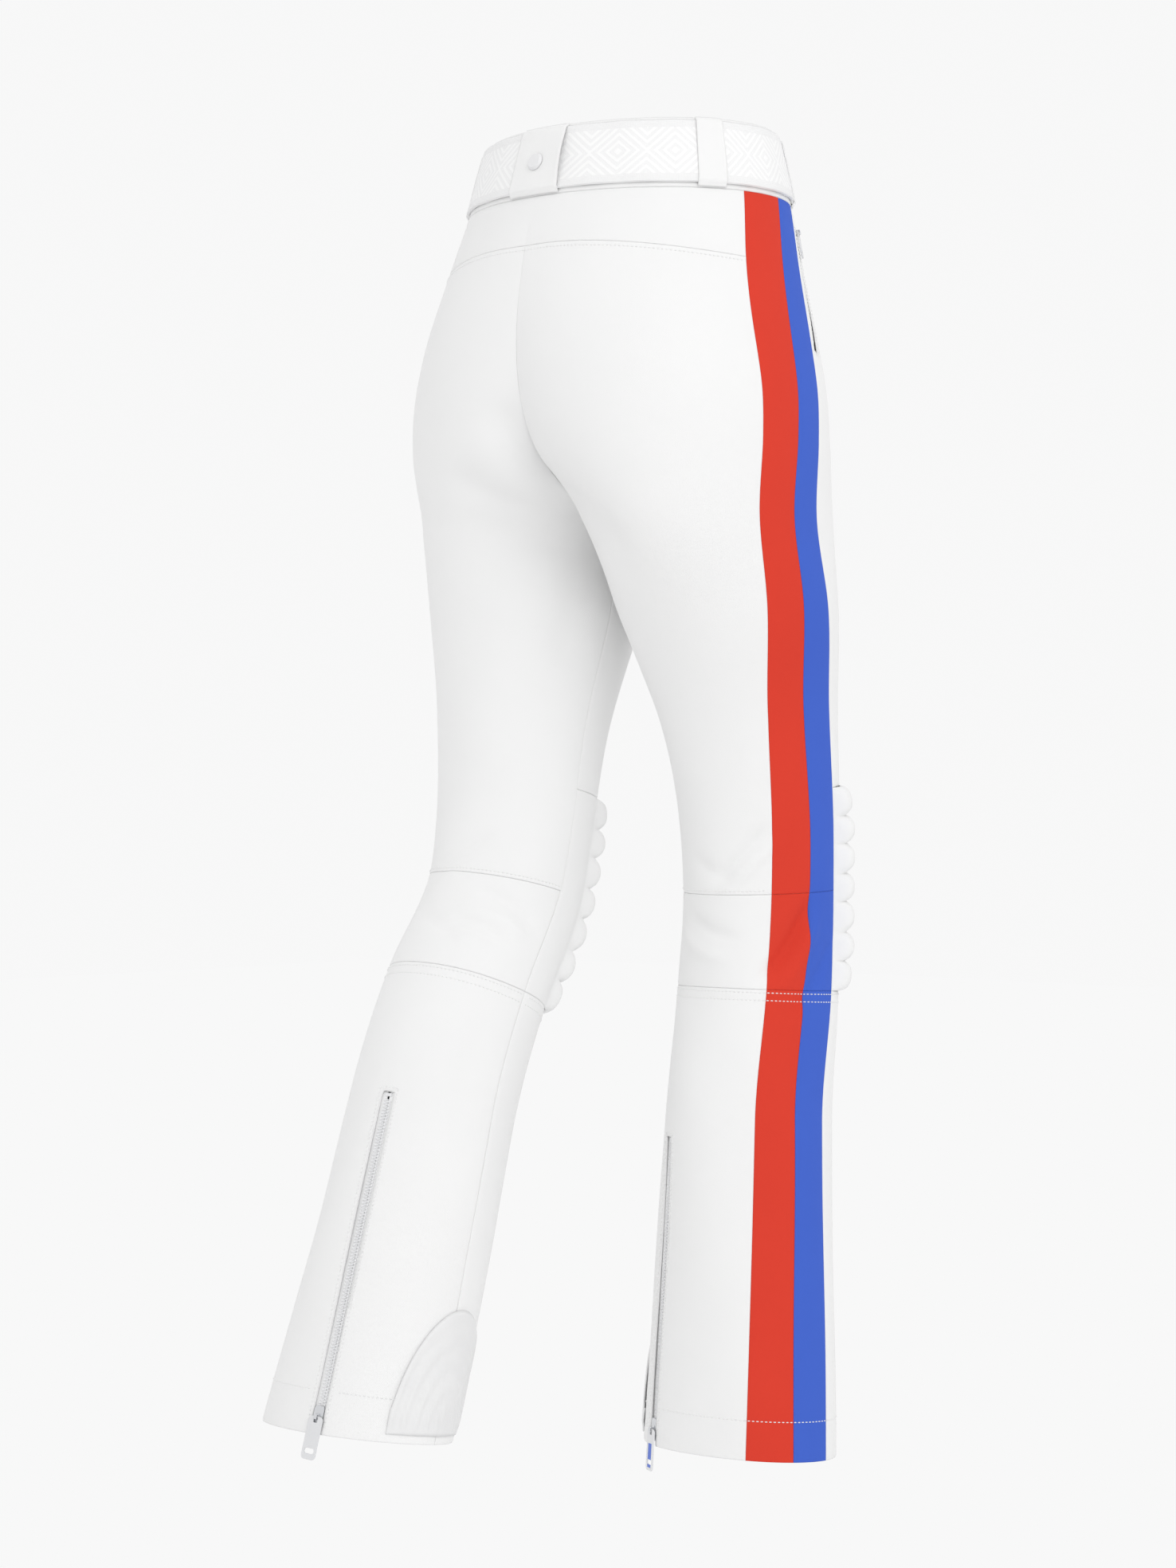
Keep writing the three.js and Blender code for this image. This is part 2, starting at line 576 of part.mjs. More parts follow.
// Below the knee: back and front panels, the zip, the gaiter and the scuff guard
function addShin(half) {
  const frame = legFrame(half);
  const hem = hemDrop(half);
  addNode(`${half.name}_lower_back_panel`, cut(cloth(half, {
    from: 0, to: seams.redBack, top: KNEE_BOTTOM_DROP, bottom: hem, across: 9, down: 12,
  }), zipSlit(frame, LAP * 8, 0)), 'white');
  addNode(`${half.name}_lower_front_panel`, cloth(half, {
    from: seams.blueFront, to: 360, top: KNEE_BOTTOM_DROP, bottom: hem, across: 8, down: 12,
  }), 'white');
  addZip(`${half.name}_leg`, frame, LEG_ZIP, { openAtTop: false, sliderAt: LEG_ZIP.rest });
  const gaiterTop = hem - LEG_ZIP_HEM - LEG_ZIP_LENGTH - GAITER_ABOVE_ZIP;
  const root = CLOTH + 2 * LAYER_GAP + GAITER / 4;
  const leaving = (w) => THREE.MathUtils.smoothstep(w, GAITER_ROOT_SHARE, 2 * GAITER_ROOT_SHARE);
  const under = (w) => -THREE.MathUtils.lerp(root, GAITER_DEPTH, leaving(w));
  addNode(`${half.name}_gaiter`, cloth(half, {
    from: GAITER_OPEN, to: 360 - GAITER_OPEN, top: gaiterTop, bottom: hem - GAITER_HEM,
    outer: under, inner: (w) => under(w) - GAITER, across: 16, down: 12, gap: false,
  }), 'lining');
  const arch = (h, degrees) => {
    const round = degrees > 180 ? degrees - 360 : degrees;
    const share = (round - GUARD_FROM) / (GUARD_TO - GUARD_FROM);
    const height = Math.sqrt(Math.max(GUARD_END_SHARE ** 2, 1 - (2 * share - 1) ** 2));
    return hem - GUARD_HEM - GUARD_HEIGHT * height;
  };
  addNode(`${half.name}_scuff_guard`, cloth(half, {
    from: GUARD_FROM, to: GUARD_TO, top: arch, bottom: hem - GUARD_HEM,
    inner: LAYER_GAP, outer: LAYER_GAP + GUARD, across: 14, down: 4, gap: false,
  }), 'grey');
}

// A pocket bag hangs inside the front panel, below its zip
function addPocket(half) {
  const edge = (h, drop) => seams.blueFront(h, drop) + degreesFor(h, drop, 1);
  const root = CLOTH + FACING + 2.5 * LAYER_GAP;
  const leaving = (w) => THREE.MathUtils.smoothstep(w, ...BAG_ROOT_SHARE);
  const under = (w) => -THREE.MathUtils.lerp(root, BAG_DEPTH, leaving(w));
  addNode(`${half.name}_pocket_bag`, cloth(half, {
    from: edge, to: (h, drop) => edge(h, drop) + BAG_WIDTH_DEGREES,
    top: WAISTBAND_HEIGHT - BAG_ROOT, bottom: POCKET_BOTTOM_DROP + BAG_BELOW_ZIP,
    outer: under, inner: (w) => under(w) - FACING, across: 5, down: 16, gap: false,
  }), 'lining');
  const frame = pocketFrame(half);
  const sliderAt = frame.length - POCKET_ZIP.rest;
  addZip(`${half.name}_pocket`, frame, POCKET_ZIP, { openAtTop: false, sliderAt });
}

// The fly: chain and slider in the front slit, and a facing behind them
function addFly() {
  addZip('fly', flyFrame, FLY_ZIP, { openAtTop: true, sliderAt: flyFrame.length - FLY_ZIP.rest });
  const behind = -TEETH / 2 - SLIDER_GAP - SLIDER_PLATE - LAYER_GAP;
  const width = FLY_ZIP.tape / 2 + FLY_FACING_MARGIN;
  const guard = box(-width, width, behind - FACING, behind, 0, flyFrame.length - FLY_FACING_MARGIN);
  addNode('fly_facing', placed(guard, flyFrame.matrix), 'lining');
}

// Where the yoke meets the red stripe, as a share of the way from the middle of the back to the front
function yokeEnd(drop) {
  const middle = middleAngle(LEFT, drop, 0);
  const end = seams.redBack(LEFT, drop);
  return (end - gapDegrees(LEFT, drop, end) - middle) / (360 - 2 * middle);
}

addWaist();
addNode('back_yoke', band({
  top: WAISTBAND_HEIGHT + GAP / 2,
  bottom: (half, degrees) => yokeDrop(half, degrees) - GAP / 2,
  inner: -CLOTH, outer: 0, from: (drop) => -yokeEnd(drop), to: yokeEnd, across: 24, down: 3,
}), 'white');
for (const half of [RIGHT, LEFT]) {
  addThigh(half);
  addKnee(half);
  addShin(half);
  addPocket(half);
}
addFly();

export default pants;
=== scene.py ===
import math

import bmesh
import bpy
import numpy as np
from mathutils import Matrix, Vector


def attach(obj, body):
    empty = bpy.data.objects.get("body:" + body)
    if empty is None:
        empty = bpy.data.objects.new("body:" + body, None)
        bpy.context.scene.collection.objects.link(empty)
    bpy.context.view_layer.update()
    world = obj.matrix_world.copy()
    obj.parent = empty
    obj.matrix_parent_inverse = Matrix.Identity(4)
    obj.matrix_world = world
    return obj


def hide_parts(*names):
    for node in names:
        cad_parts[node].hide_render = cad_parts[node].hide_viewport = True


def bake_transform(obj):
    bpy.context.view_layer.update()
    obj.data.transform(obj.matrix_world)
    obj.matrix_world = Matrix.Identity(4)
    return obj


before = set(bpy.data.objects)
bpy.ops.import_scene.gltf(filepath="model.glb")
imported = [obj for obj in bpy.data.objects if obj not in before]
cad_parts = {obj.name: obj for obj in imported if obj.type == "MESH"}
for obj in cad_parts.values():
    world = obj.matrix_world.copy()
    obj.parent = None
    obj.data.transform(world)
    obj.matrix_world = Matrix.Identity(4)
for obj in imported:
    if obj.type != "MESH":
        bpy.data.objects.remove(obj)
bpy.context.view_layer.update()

# The studio: a floor that glows as brightly as the white sky all round, so that the two run together, and
# one broad soft lamp beside the camera, as for white clothes in a catalogue.
FLOOR_Z = -1.16
FLOOR_REACH = 7.0
SKY = 0.935
CAMERA_TURN = math.radians(222)
CAMERA_DISTANCE = 2.6
CAMERA_HEIGHT = -0.508
CAMERA_ASIDE = -0.036
LENS = 75
SENSOR = 36
LAMP_SIZE, LAMP_POWER = 2.4, 26
LAMP_AWAY, LAMP_ASIDE, LAMP_HEIGHT, LAMP_AIM = 2.9, 1.0, 1.2, -0.5


class Value:
    """A socket that carries a number, so that shader maths reads as an expression."""

    def __init__(self, finish, socket):
        self.finish, self.socket = finish, socket

    def maths(self, operation, *values):
        return self.finish.node("ShaderNodeMath", {"operation": operation}, dict(enumerate(values)))[0]

    def __add__(self, other):
        return self.maths("ADD", self, other)

    def __radd__(self, other):
        return self.maths("ADD", other, self)

    def __sub__(self, other):
        return self.maths("SUBTRACT", self, other)

    def __rsub__(self, other):
        return self.maths("SUBTRACT", other, self)

    def __mul__(self, other):
        return self.maths("MULTIPLY", self, other)

    def __rmul__(self, other):
        return self.maths("MULTIPLY", other, self)

    def __truediv__(self, other):
        return self.maths("DIVIDE", self, other)

    def __gt__(self, other):
        return self.maths("GREATER_THAN", self, other)

    def __lt__(self, other):
        return self.maths("LESS_THAN", self, other)

    def wave(self):
        return self.maths("SINE", self)

    def size(self):
        return self.maths("ABSOLUTE", self)

    def fraction(self):
        return self.maths("FRACT", self)


class Finish:
    """A material: what its pieces are made of, and how that catches the light."""

    def __init__(self, name, roughness=0.8, metallic=0.0, sheen=0.0):
        self.material = bpy.data.materials.new(name)
        self.material.use_nodes = True
        self.tree = self.material.node_tree
        self.shader = self.tree.nodes["Principled BSDF"]
        self.shader.inputs["Roughness"].default_value = roughness
        self.shader.inputs["Metallic"].default_value = metallic
        self.shader.inputs["Sheen Weight"].default_value = sheen

    def put(self, socket, value):
        if isinstance(value, Value):
            self.tree.links.new(value.socket, socket)
        elif isinstance(value, tuple) and len(value) == 3 and socket.type == "RGBA":
            socket.default_value = (*value, 1)
        else:
            socket.default_value = value

    def node(self, kind, settings=None, values=None):
        made = self.tree.nodes.new(kind)
        for name, setting in (settings or {}).items():
            setattr(made, name, setting)
        for name, value in (values or {}).items():
            self.put(made.inputs[name], value)
        return [Value(self, socket) for socket in made.outputs]

    def mix(self, share, first, second):
        return self.node("ShaderNodeMix", {"data_type": "RGBA"}, {0: share, 6: first, 7: second})[2]

    def cloth_place(self):
        """Millimetres across and down the cut piece, from its own UV map."""
        uv = self.node("ShaderNodeUVMap", {"uv_map": "cut"})[0]
        across, down, _ = self.node("ShaderNodeSeparateXYZ", values={0: uv})
        return uv, across * 1000, down * 1000

    def spots(self, place, scale, detail=3.0):
        return self.node(
            "ShaderNodeTexNoise", values={"Vector": place, "Scale": scale, "Detail": detail}
        )[0]

    def colour(self, value):
        self.put(self.shader.inputs["Base Color"], value)

    def roughness(self, value):
        self.put(self.shader.inputs["Roughness"], value)

    def relief(self, height, depth_mm):
        bump = self.node(
            "ShaderNodeBump", values={"Height": height, "Distance": depth_mm / 1000, "Strength": 1.0}
        )
        self.put(self.shader.inputs["Normal"], bump[0])


def object_from(bm, name, finish, smooth=True):
    mesh = bpy.data.meshes.new(name)
    bm.to_mesh(mesh)
    bm.free()
    mesh.materials.append(finish.material)
    for face in mesh.polygons:
        face.use_smooth = smooth
    made = bpy.data.objects.new(name, mesh)
    bpy.context.scene.collection.objects.link(made)
    return made


def studio():
    floor = bmesh.new()
    bmesh.ops.create_grid(floor, x_segments=40, y_segments=40, size=FLOOR_REACH)
    for vert in floor.verts:
        vert.co.z = FLOOR_Z
    paint = Finish("studio_floor", roughness=1.0)
    paint.colour((0.004, 0.004, 0.004))
    paint.shader.inputs["Specular IOR Level"].default_value = 0
    paint.shader.inputs["Emission Color"].default_value = (1, 1, 1, 1)
    paint.shader.inputs["Emission Strength"].default_value = SKY
    object_from(floor, "studio_floor", paint)

    world = bpy.data.worlds.new("white_sky")
    world.use_nodes = True
    world.node_tree.nodes["Background"].inputs[0].default_value = (1, 1, 1, 1)
    world.node_tree.nodes["Background"].inputs[1].default_value = SKY
    bpy.context.scene.world = world
    bpy.context.scene.view_settings.view_transform = "Standard"

    away = Vector((math.sin(CAMERA_TURN), -math.cos(CAMERA_TURN), 0))
    right = Vector((math.cos(CAMERA_TURN), math.sin(CAMERA_TURN), 0))
    place = away * CAMERA_DISTANCE + right * CAMERA_ASIDE + Vector((0, 0, CAMERA_HEIGHT))
    facing = Matrix((right, (0, 0, 1), away)).transposed()
    camera = bpy.data.objects.new("camera", bpy.data.cameras.new("camera"))
    camera.data.lens = LENS
    camera.data.sensor_width = SENSOR
    camera.matrix_world = Matrix.Translation(place) @ facing.to_4x4()
    bpy.context.scene.collection.objects.link(camera)
    bpy.context.scene.camera = camera

    lamp = bpy.data.objects.new("softbox", bpy.data.lights.new("softbox", "AREA"))
    lamp.data.size = LAMP_SIZE
    lamp.data.energy = LAMP_POWER
    lamp_place = away * LAMP_AWAY + right * LAMP_ASIDE + Vector((0, 0, LAMP_HEIGHT))
    lamp.matrix_world = (
        Matrix.Translation(lamp_place)
        @ (lamp_place - Vector((0, 0, LAMP_AIM))).to_track_quat("Z", "Y").to_matrix().to_4x4()
    )
    bpy.context.scene.collection.objects.link(lamp)


studio()


# The cut of the pants: each half is shaped by level sections round the leg's own axis. A station is a
# drop below the waist, axis out from the middle, half width, axis back, half depth, in millimetres, and
# the tilt of the section in degrees. The pieces below lie on this surface, so their edges meet.
CROTCH_DROP = 300
HIPS = [
    (0, 0, 126, 3, 97, 0),
    (50, 0, 138, 5.5, 109.5, 0),
    (105, 18, 134, 12, 117, 0),
    (165, 38, 130, 17.5, 123.5, 0),
    (210, 52, 124, 19, 124, 0),
    (245, 64, 113, 18, 121, 0),
    (CROTCH_DROP, 86, 86, 10, 112, 0),
]
RIGHT_LEG = [
    (375, 86, 84, -15, 89, -3),
    (455, 85, 68, -40, 73, -4),
    (550, 85, 62, -56, 64, -3),
    (592, 85, 61, -58, 63, -2),
    (669, 85, 63, -53, 64, 3),
    (770, 87, 65, -39, 66, 4),
    (1026, 92, 82, -20, 64, 4),
]
LEFT_LEG = [
    (375, 86, 81, 22, 89, 5),
    (455, 85, 68, 36, 72, 8),
    (550, 84, 62, 50, 63, 12),
    (592, 83, 61, 61, 62, 15),
    (669, 83, 64, 105, 63, 22),
    (764, 86, 65, 141, 66, 20),
    (1004, 95, 82, 212, 64, 8),
]
WAISTBAND_HEIGHT = 56
YOKE_DROP_BACK, YOKE_DROP_SIDE = 95, 110
PAD_TOP_DROP, KNEE_TOP_DROP, KNEE_BOTTOM_DROP = 512, 592, 669
RED_WIDTH = BLUE_WIDTH = 33
RED_WAIST_SHARE = 8 / 33  # the red strip is this much wider at the waist
SIDE_TURN_WAIST, SIDE_TURN_HIP = 12, 4
THIGH_TURN_DROP = 455
SEAM_GAP = 0.08
SHELL = 1.3  # the laminated cloth's thickness


class Half:
    """One side of the pants: its sections, how far the leg is turned and where its zip runs."""

    def __init__(self, name, sign, stations, turn, hem_turn, zip_at, folds):
        self.name, self.sign, self.turn, self.hem_turn, self.zip_at = name, sign, turn, hem_turn, zip_at
        self.stations = np.array(stations, float)
        self.hem = self.stations[-1, 0]
        self.folds = folds

    def slopes(self):
        rows = self.stations
        secant = (rows[1:] - rows[:-1]) / (rows[1:, :1] - rows[:-1, :1])
        width = rows[1:, :1] - rows[:-1, :1]
        between = (secant[:-1] * width[1:] + secant[1:] * width[:-1]) / (width[1:] + width[:-1])
        between[-1] = secant[-1]
        return np.vstack([secant[:1], between, secant[-1:]])

    def section(self, drop):
        """The stations' columns at each drop, on a smooth curve that is straight down to the hem."""
        rows, slopes = self.stations, self.slopes()
        i = np.clip(np.searchsorted(rows[:, 0], drop) - 1, 0, len(rows) - 2)
        width = rows[i + 1, 0] - rows[i, 0]
        t = (drop - rows[i, 0]) / width
        t, width = t[..., None], width[..., None]
        return (
            (2 * t**3 - 3 * t**2 + 1) * rows[i] + (t**3 - 2 * t**2 + t) * width * slopes[i]
            + (3 * t**2 - 2 * t**3) * rows[i + 1] + (t**3 - t**2) * width * slopes[i + 1]
        )

    def point(self, drop, degrees):
        """Places on the bare surface, in metres."""
        _, out, width, back, depth, tilt = np.moveaxis(self.section(drop), -1, 0)
        round_leg, tilt = np.radians(degrees), np.radians(tilt)
        reach = depth * np.sin(round_leg)
        x = self.sign * (out - width * np.cos(round_leg))
        return np.stack([x, back + reach * np.cos(tilt), -drop + reach * np.sin(tilt)], -1) / 1000

    def normal(self, drop, degrees):
        step = 0.5
        round_leg = self.point(drop, degrees + step) - self.point(drop, degrees - step)
        down = self.point(drop + step, degrees) - self.point(drop - step, degrees)
        normal = np.cross(round_leg, down) * self.sign
        return normal / np.linalg.norm(normal, axis=-1, keepdims=True)

    def middle(self, drop, clear=SEAM_GAP / 2):
        """Degrees at which the section meets the middle plane."""
        section = self.section(drop)
        return np.degrees(np.arccos(np.clip((section[..., 1] - clear) / section[..., 2], -1, 1)))

    def centre_back(self, drop):
        return self.middle(drop, 0.0)

    def centre_front(self, drop):
        return 360 - self.middle(drop)

    def reach(self, drop, degrees):
        """Millimetres of cloth to a degree."""
        near = self.point(drop, degrees + 0.5) - self.point(drop, degrees - 0.5)
        return np.linalg.norm(near, axis=-1) * 1000

    def side(self, drop, across=0.0):
        """The line between the stripes, or a line this far in front of it."""
        waist, hip = ease(drop, 0, 165), ease(drop, 200, 455)
        turn = SIDE_TURN_WAIST + (SIDE_TURN_HIP - SIDE_TURN_WAIST) * waist
        shin = np.clip((drop - THIGH_TURN_DROP) / (self.hem - THIGH_TURN_DROP), 0, 1)
        leg_turn = self.turn + (self.hem_turn - self.turn) * shin
        middle = 180 + turn + (leg_turn - turn) * hip
        wider = 1 + RED_WAIST_SHARE * (across < 0) * (1 - ease(drop, YOKE_DROP_SIDE, THIGH_TURN_DROP))
        return middle + np.degrees(across * wider / self.section(drop)[..., 4])

    def red_edge(self, drop):
        return self.side(drop, -RED_WIDTH)

    def blue_edge(self, drop):
        return self.side(drop, BLUE_WIDTH)

    def rise(self, drop, degrees):
        """How far folds and wear lift the cloth off the bare surface, in millimetres."""
        return sum(fold.height(self, drop, degrees) for fold in self.folds) + self.slack(drop, degrees)

    def slack(self, drop, degrees):
        """The slow unevenness of cloth that hangs, none at the waist."""
        a, b = np.radians(degrees), drop / 1000
        wave = np.sin(2 * a + 9 * b + self.sign) * np.sin(17 * b + a) + 0.6 * np.sin(5 * a - 23 * b)
        return 0.7 * wave * ease(drop, 90, 260)


CHAIN_BELOW = 2.7  # millimetres, from the outside of the cloth to the middle of a zip's chain
RAGGED_ACROSS, RAGGED_IN, RAGGED_OUT = 3.5, 3, 4  # how far from a slit's edge its vertices are trimmed


class Zip:
    """Where a zip lies: a straight line on the cloth, with its own across, outward and upward directions.
    Its chain's mid-plane is a few millimetres under the outside of the cloth."""

    slit = 11.0  # millimetres of gap in the shell

    def __init__(self, half, top, bottom, depth, in_middle=False, open_below=False):
        self.open_below = open_below
        ends = [half.point(np.array([float(d)]), np.array([float(a)]))[0] for d, a in (top, bottom)]
        up = ends[0] - ends[1]
        self.length = np.linalg.norm(up) * 1000
        self.up = up / np.linalg.norm(up)
        middle = [np.array([(a + b) / 2]) for a, b in zip(top, bottom)]
        normal = half.normal(*middle)[0]
        if in_middle:
            normal[0] = 0
        normal -= self.up * normal.dot(self.up)
        self.normal = normal / np.linalg.norm(normal)
        self.across = np.cross(self.normal, self.up)
        self.origin = ends[1] - self.normal * depth / 1000
        self.sunk = depth - CHAIN_BELOW

    def matrix(self, raised=0.0):
        basis = Matrix((self.across, self.normal, self.up)).transposed().to_4x4()
        basis.translation = Vector(self.origin + self.up * raised / 1000)
        return basis @ Matrix.Diagonal((0.001, 0.001, 0.001, 1))

    def local(self, place):
        """Millimetres across, outward and up the zip."""
        off = (np.array(place) - self.origin) * 1000
        return off @ self.across, off @ self.normal, off @ self.up

    def holds(self, place):
        x, y, z = self.local(place)
        return abs(x) < self.slit / 2 and abs(y) < 30 and z < self.length and (z > 0 or self.open_below)

    def trim(self, vert):
        """Moves a vertex at the slit's ragged edge onto its straight edge."""
        x, _, z = self.local(vert.co)
        if abs(x) >= self.slit / 2 + RAGGED_ACROSS:
            return
        if z < self.length - RAGGED_IN and (z > RAGGED_IN or self.open_below):
            vert.co += Vector(self.across * (math.copysign(self.slit / 2, x) - x) / 1000)
        elif self.length - RAGGED_IN <= z < self.length + RAGGED_OUT:
            vert.co += Vector(self.up * (self.length - z) / 1000)
        elif -RAGGED_OUT < z <= RAGGED_IN:
            vert.co -= Vector(self.up * z / 1000)


def ease(x, low, high):
    t = np.clip((x - low) / (high - low), 0, 1)
    return t * t * (3 - 2 * t)


class Fold:
    """A crease or a roll of cloth along a line from (drop, degrees) to another, fading at its ends."""

    def __init__(self, start, end, width, height, bow=0.0):
        self.start, self.end, self.width, self.high, self.bow = start, end, width, height, bow

    def height(self, half, drop, degrees):
        scale = 1.15  # millimetres of cloth to a degree, near enough over one fold
        along = np.array([self.end[0] - self.start[0], (self.end[1] - self.start[1]) * scale], float)
        length = np.linalg.norm(along)
        along /= length
        down, across = drop - self.start[0], (degrees - self.start[1]) * scale
        share = (down * along[0] + across * along[1]) / length
        off = across * along[0] - down * along[1] - self.bow * 4 * share * (1 - share)
        fade = ease(share, -0.1, 0.3) * (1 - ease(share, 0.7, 1.1))
        return self.high * fade * np.exp(-((off / self.width) ** 2))


# Folds pull from the crotch and behind the knee, and the seat and calf hang a little full.
right_folds = [
    Fold((262, 40), (350, 86), 13, -2.6, 8),
    Fold((280, 26), (372, 70), 12, 2.0, 8),
    Fold((258, 114), (333, 64), 20, -1.6, 6),
    Fold((536, 136), (580, 92), 5, -3.2, 2),
    Fold((548, 140), (592, 98), 5, 2.6, 2),
    Fold((560, 70), (584, 118), 6, -2.0, -3),
    Fold((606, 58), (628, 116), 6, -2.6, -4),
    Fold((622, 52), (646, 108), 6, 2.2, -4),
    Fold((594, 168), (664, 128), 6, -4.4, 4),
    Fold((606, 176), (676, 138), 7, 3.8, 4),
    Fold((628, 192), (690, 150), 6, -2.6, 4),
    Fold((300, 20), (420, 34), 16, -2.2, 4),
    Fold((700, 100), (860, 132), 22, -1.4, 8),
]
left_folds = [
    Fold((212, 74), (280, 32), 9, -4.4, 5),
    Fold((232, 84), (296, 40), 11, 2.6, 5),
    Fold((264, 92), (296, 38), 9, -2.4, 3),
    Fold((300, 74), (326, 16), 12, -1.8, 4),
    Fold((286, 132), (304, 84), 12, -1.4, 4),
    Fold((604, 66), (628, 8), 6, -2.8, -3),
    Fold((636, 80), (642, 26), 6, -3.0, -4),
    Fold((620, 74), (634, 16), 6, 2.4, -3),
    Fold((560, 60), (600, 122), 6, -2.2, -4),
    Fold((628, 112), (652, 60), 7, -2.2, -4),
    Fold((700, 30), (820, 16), 14, -2.4, 4),
    Fold((330, 16), (430, 26), 16, -2.2, 4),
    Fold((720, 96), (900, 130), 22, -1.4, 8),
]
right = Half("right", -1, HIPS + RIGHT_LEG, -10, -24, 60, right_folds)
left = Half("left", 1, HIPS + LEFT_LEG, 8, 8, 78, left_folds)
HALVES = (right, left)


KNEE_BEND_MARGIN = 5  # the middle of the knee is found between drops this far inside its two seams


def bend_knee(half, piece):
    """Works out the middle of the knee between its two seams, and bakes a piece that crosses the knee into
    place as it lies. The piece is not bent to follow the thigh and the shin.
    """
    drops = np.array([KNEE_TOP_DROP + KNEE_BEND_MARGIN, KNEE_BOTTOM_DROP - KNEE_BEND_MARGIN], float)
    columns = half.section(drops)
    middle = columns.mean(0)
    centre = np.array([half.sign * middle[1], middle[3], -drops.mean()]) / 1000
    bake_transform(piece)


def level(value, drop):
    return value(drop) if callable(value) else np.full_like(drop, value)


def yoke_line(degrees):
    return YOKE_DROP_BACK + (YOKE_DROP_SIDE - YOKE_DROP_BACK) * ease(degrees, 90, 180)


def grid(columns, rows):
    """A flat grid of faces, and each vertex's share of the way across it and down it."""
    bm = bmesh.new()
    bmesh.ops.create_grid(bm, x_segments=columns, y_segments=rows, size=0.5)
    return bm, np.array([(vert.co.x + 0.5, 0.5 - vert.co.y) for vert in bm.verts])


def lay(bm, place, across, drop):
    """Moves a grid into place. Its UV map is where each vertex is on the cut piece, in metres."""
    uv_layer = bm.loops.layers.uv.new("cut")
    for vert, co in zip(bm.verts, place):
        vert.co = co
    for face in bm.faces:
        for loop in face.loops:
            i = loop.vert.index
            loop[uv_layer].uv = (across[i], drop[i] / 1000)
    bm.normal_update()
    bm.faces.ensure_lookup_table()


def thicken(made, millimetres):
    wall = made.modifiers.new("cloth", "SOLIDIFY")
    wall.thickness, wall.offset = millimetres / 1000, -1
    return wall


EDGE_CURL, CURL_WIDTH = 0.45, 2.4  # how far a cut piece's edges turn in, and over what width


def cut_cloth(name, half, finish, start, end, top, bottom, pitch=3.2, lift=None, under=0.0, thick=SHELL,
              slits=(), inside=None, flat_start=False):
    """A cut piece on one half, its edges turned in a little at the seams. start and end are degrees,
    numbers or functions of the drop; top and bottom are drops, or functions of degrees."""
    side = np.array([180.0])
    levels = [float(np.mean(value(side))) if callable(value) else value for value in (top, bottom)]
    middle = np.array([sum(levels) / 2])
    span = float((level(end, middle) - level(start, middle))[0] * half.reach(middle, side)[0])
    columns = max(4, math.ceil(span / pitch)) + 4
    rows = max(4, math.ceil((levels[1] - levels[0]) / pitch)) + 4
    bm, flat = grid(columns, rows)

    def packed(share, count, length):
        """Even steps, but for three short ones at each edge, where the cloth turns in."""
        short = np.array([0, 0.7, 1.6]) / length
        even = np.linspace(3.2 / length, 1 - 3.2 / length, count - 5)
        return np.interp(share * count, np.arange(count + 1), np.concatenate([short, even, 1 - short[::-1]]))

    u = packed(flat[:, 0], columns, span)
    w = packed(flat[:, 1], rows, levels[1] - levels[0])
    rough_drop = levels[0] + (levels[1] - levels[0]) * w
    guess = level(start, rough_drop) + (level(end, rough_drop) - level(start, rough_drop)) * u
    top_line = top(guess) if callable(top) else np.full_like(u, top)
    bottom_line = bottom(guess) if callable(bottom) else np.full_like(u, bottom)
    drop = top_line + SEAM_GAP / 2 + (bottom_line - top_line - SEAM_GAP) * w
    first, last = level(start, drop), level(end, drop)
    degrees = first + (last - first) * u
    from_start = np.full_like(u, span) if flat_start else u * span
    from_edge = np.minimum.reduce([from_start, (1 - u) * span, drop - top_line, bottom_line - drop])
    turned_in = EDGE_CURL * np.clip(1 - from_edge / CURL_WIDTH, 0, 1) ** 2
    height = half.rise(drop, degrees) - turned_in - under
    if lift is not None:
        height = height + lift(half, drop, degrees)
    place = half.point(drop, degrees) + half.normal(drop, degrees) * height[:, None] / 1000
    lay(bm, place, (degrees - 180) * half.reach(drop, degrees) / 1000, drop)
    face = bm.faces[len(bm.faces) // 2]
    centre = np.array([vert.index for vert in face.verts])
    outward = half.normal(drop[centre[:1]], degrees[centre[:1]])[0]
    if face.normal.dot(Vector(outward)) < 0:
        bmesh.ops.reverse_faces(bm, faces=bm.faces[:])
    for gap in slits:
        open_slit(bm, gap)
    made = object_from(bm, name, finish)
    wall = thicken(made, thick)
    if inside is not None:
        made.data.materials.append(inside.material)
        wall.material_offset = 1
    return made


def open_slit(bm, gap):
    """Takes out the faces that lie in a zip's slit and straightens its edges."""
    gone = [face for face in bm.faces if gap.holds(face.calc_center_median())]
    edge = {vert for face in gone for vert in face.verts}
    bmesh.ops.delete(bm, geom=gone, context="FACES")
    for vert in edge:
        if vert.is_valid:
            gap.trim(vert)


# Where the five zips run: one down each calf to just above the hem, one on each hip beside the stripe,
# and the fly in the middle of the front.
LEG_ZIP_LENGTH, LEG_ZIP_HEM, ZIP_DEPTH, FLY_DEPTH = 236, 3, 4.9, 3.8
POCKET_DROPS, POCKET_FROM_STRIPE, FLY_DROPS = (66, 176), 10.5, (62, 190)


def value_at(line, drop, *more):
    """One value of a line that is written for arrays of drops."""
    return float(line(np.array([float(drop)]), *more)[0])


def leg_zip_top(half):
    return half.hem - LEG_ZIP_HEM - LEG_ZIP_LENGTH


def leg_zip(half):
    ends = [(drop, half.zip_at) for drop in (leg_zip_top(half), half.hem - LEG_ZIP_HEM)]
    return Zip(half, *ends, ZIP_DEPTH, open_below=True)


def pocket_ends(half, drops=POCKET_DROPS):
    """The two ends of a line down the pocket, beside the blue stripe."""
    return [(drop, value_at(half.side, drop, BLUE_WIDTH + POCKET_FROM_STRIPE)) for drop in drops]


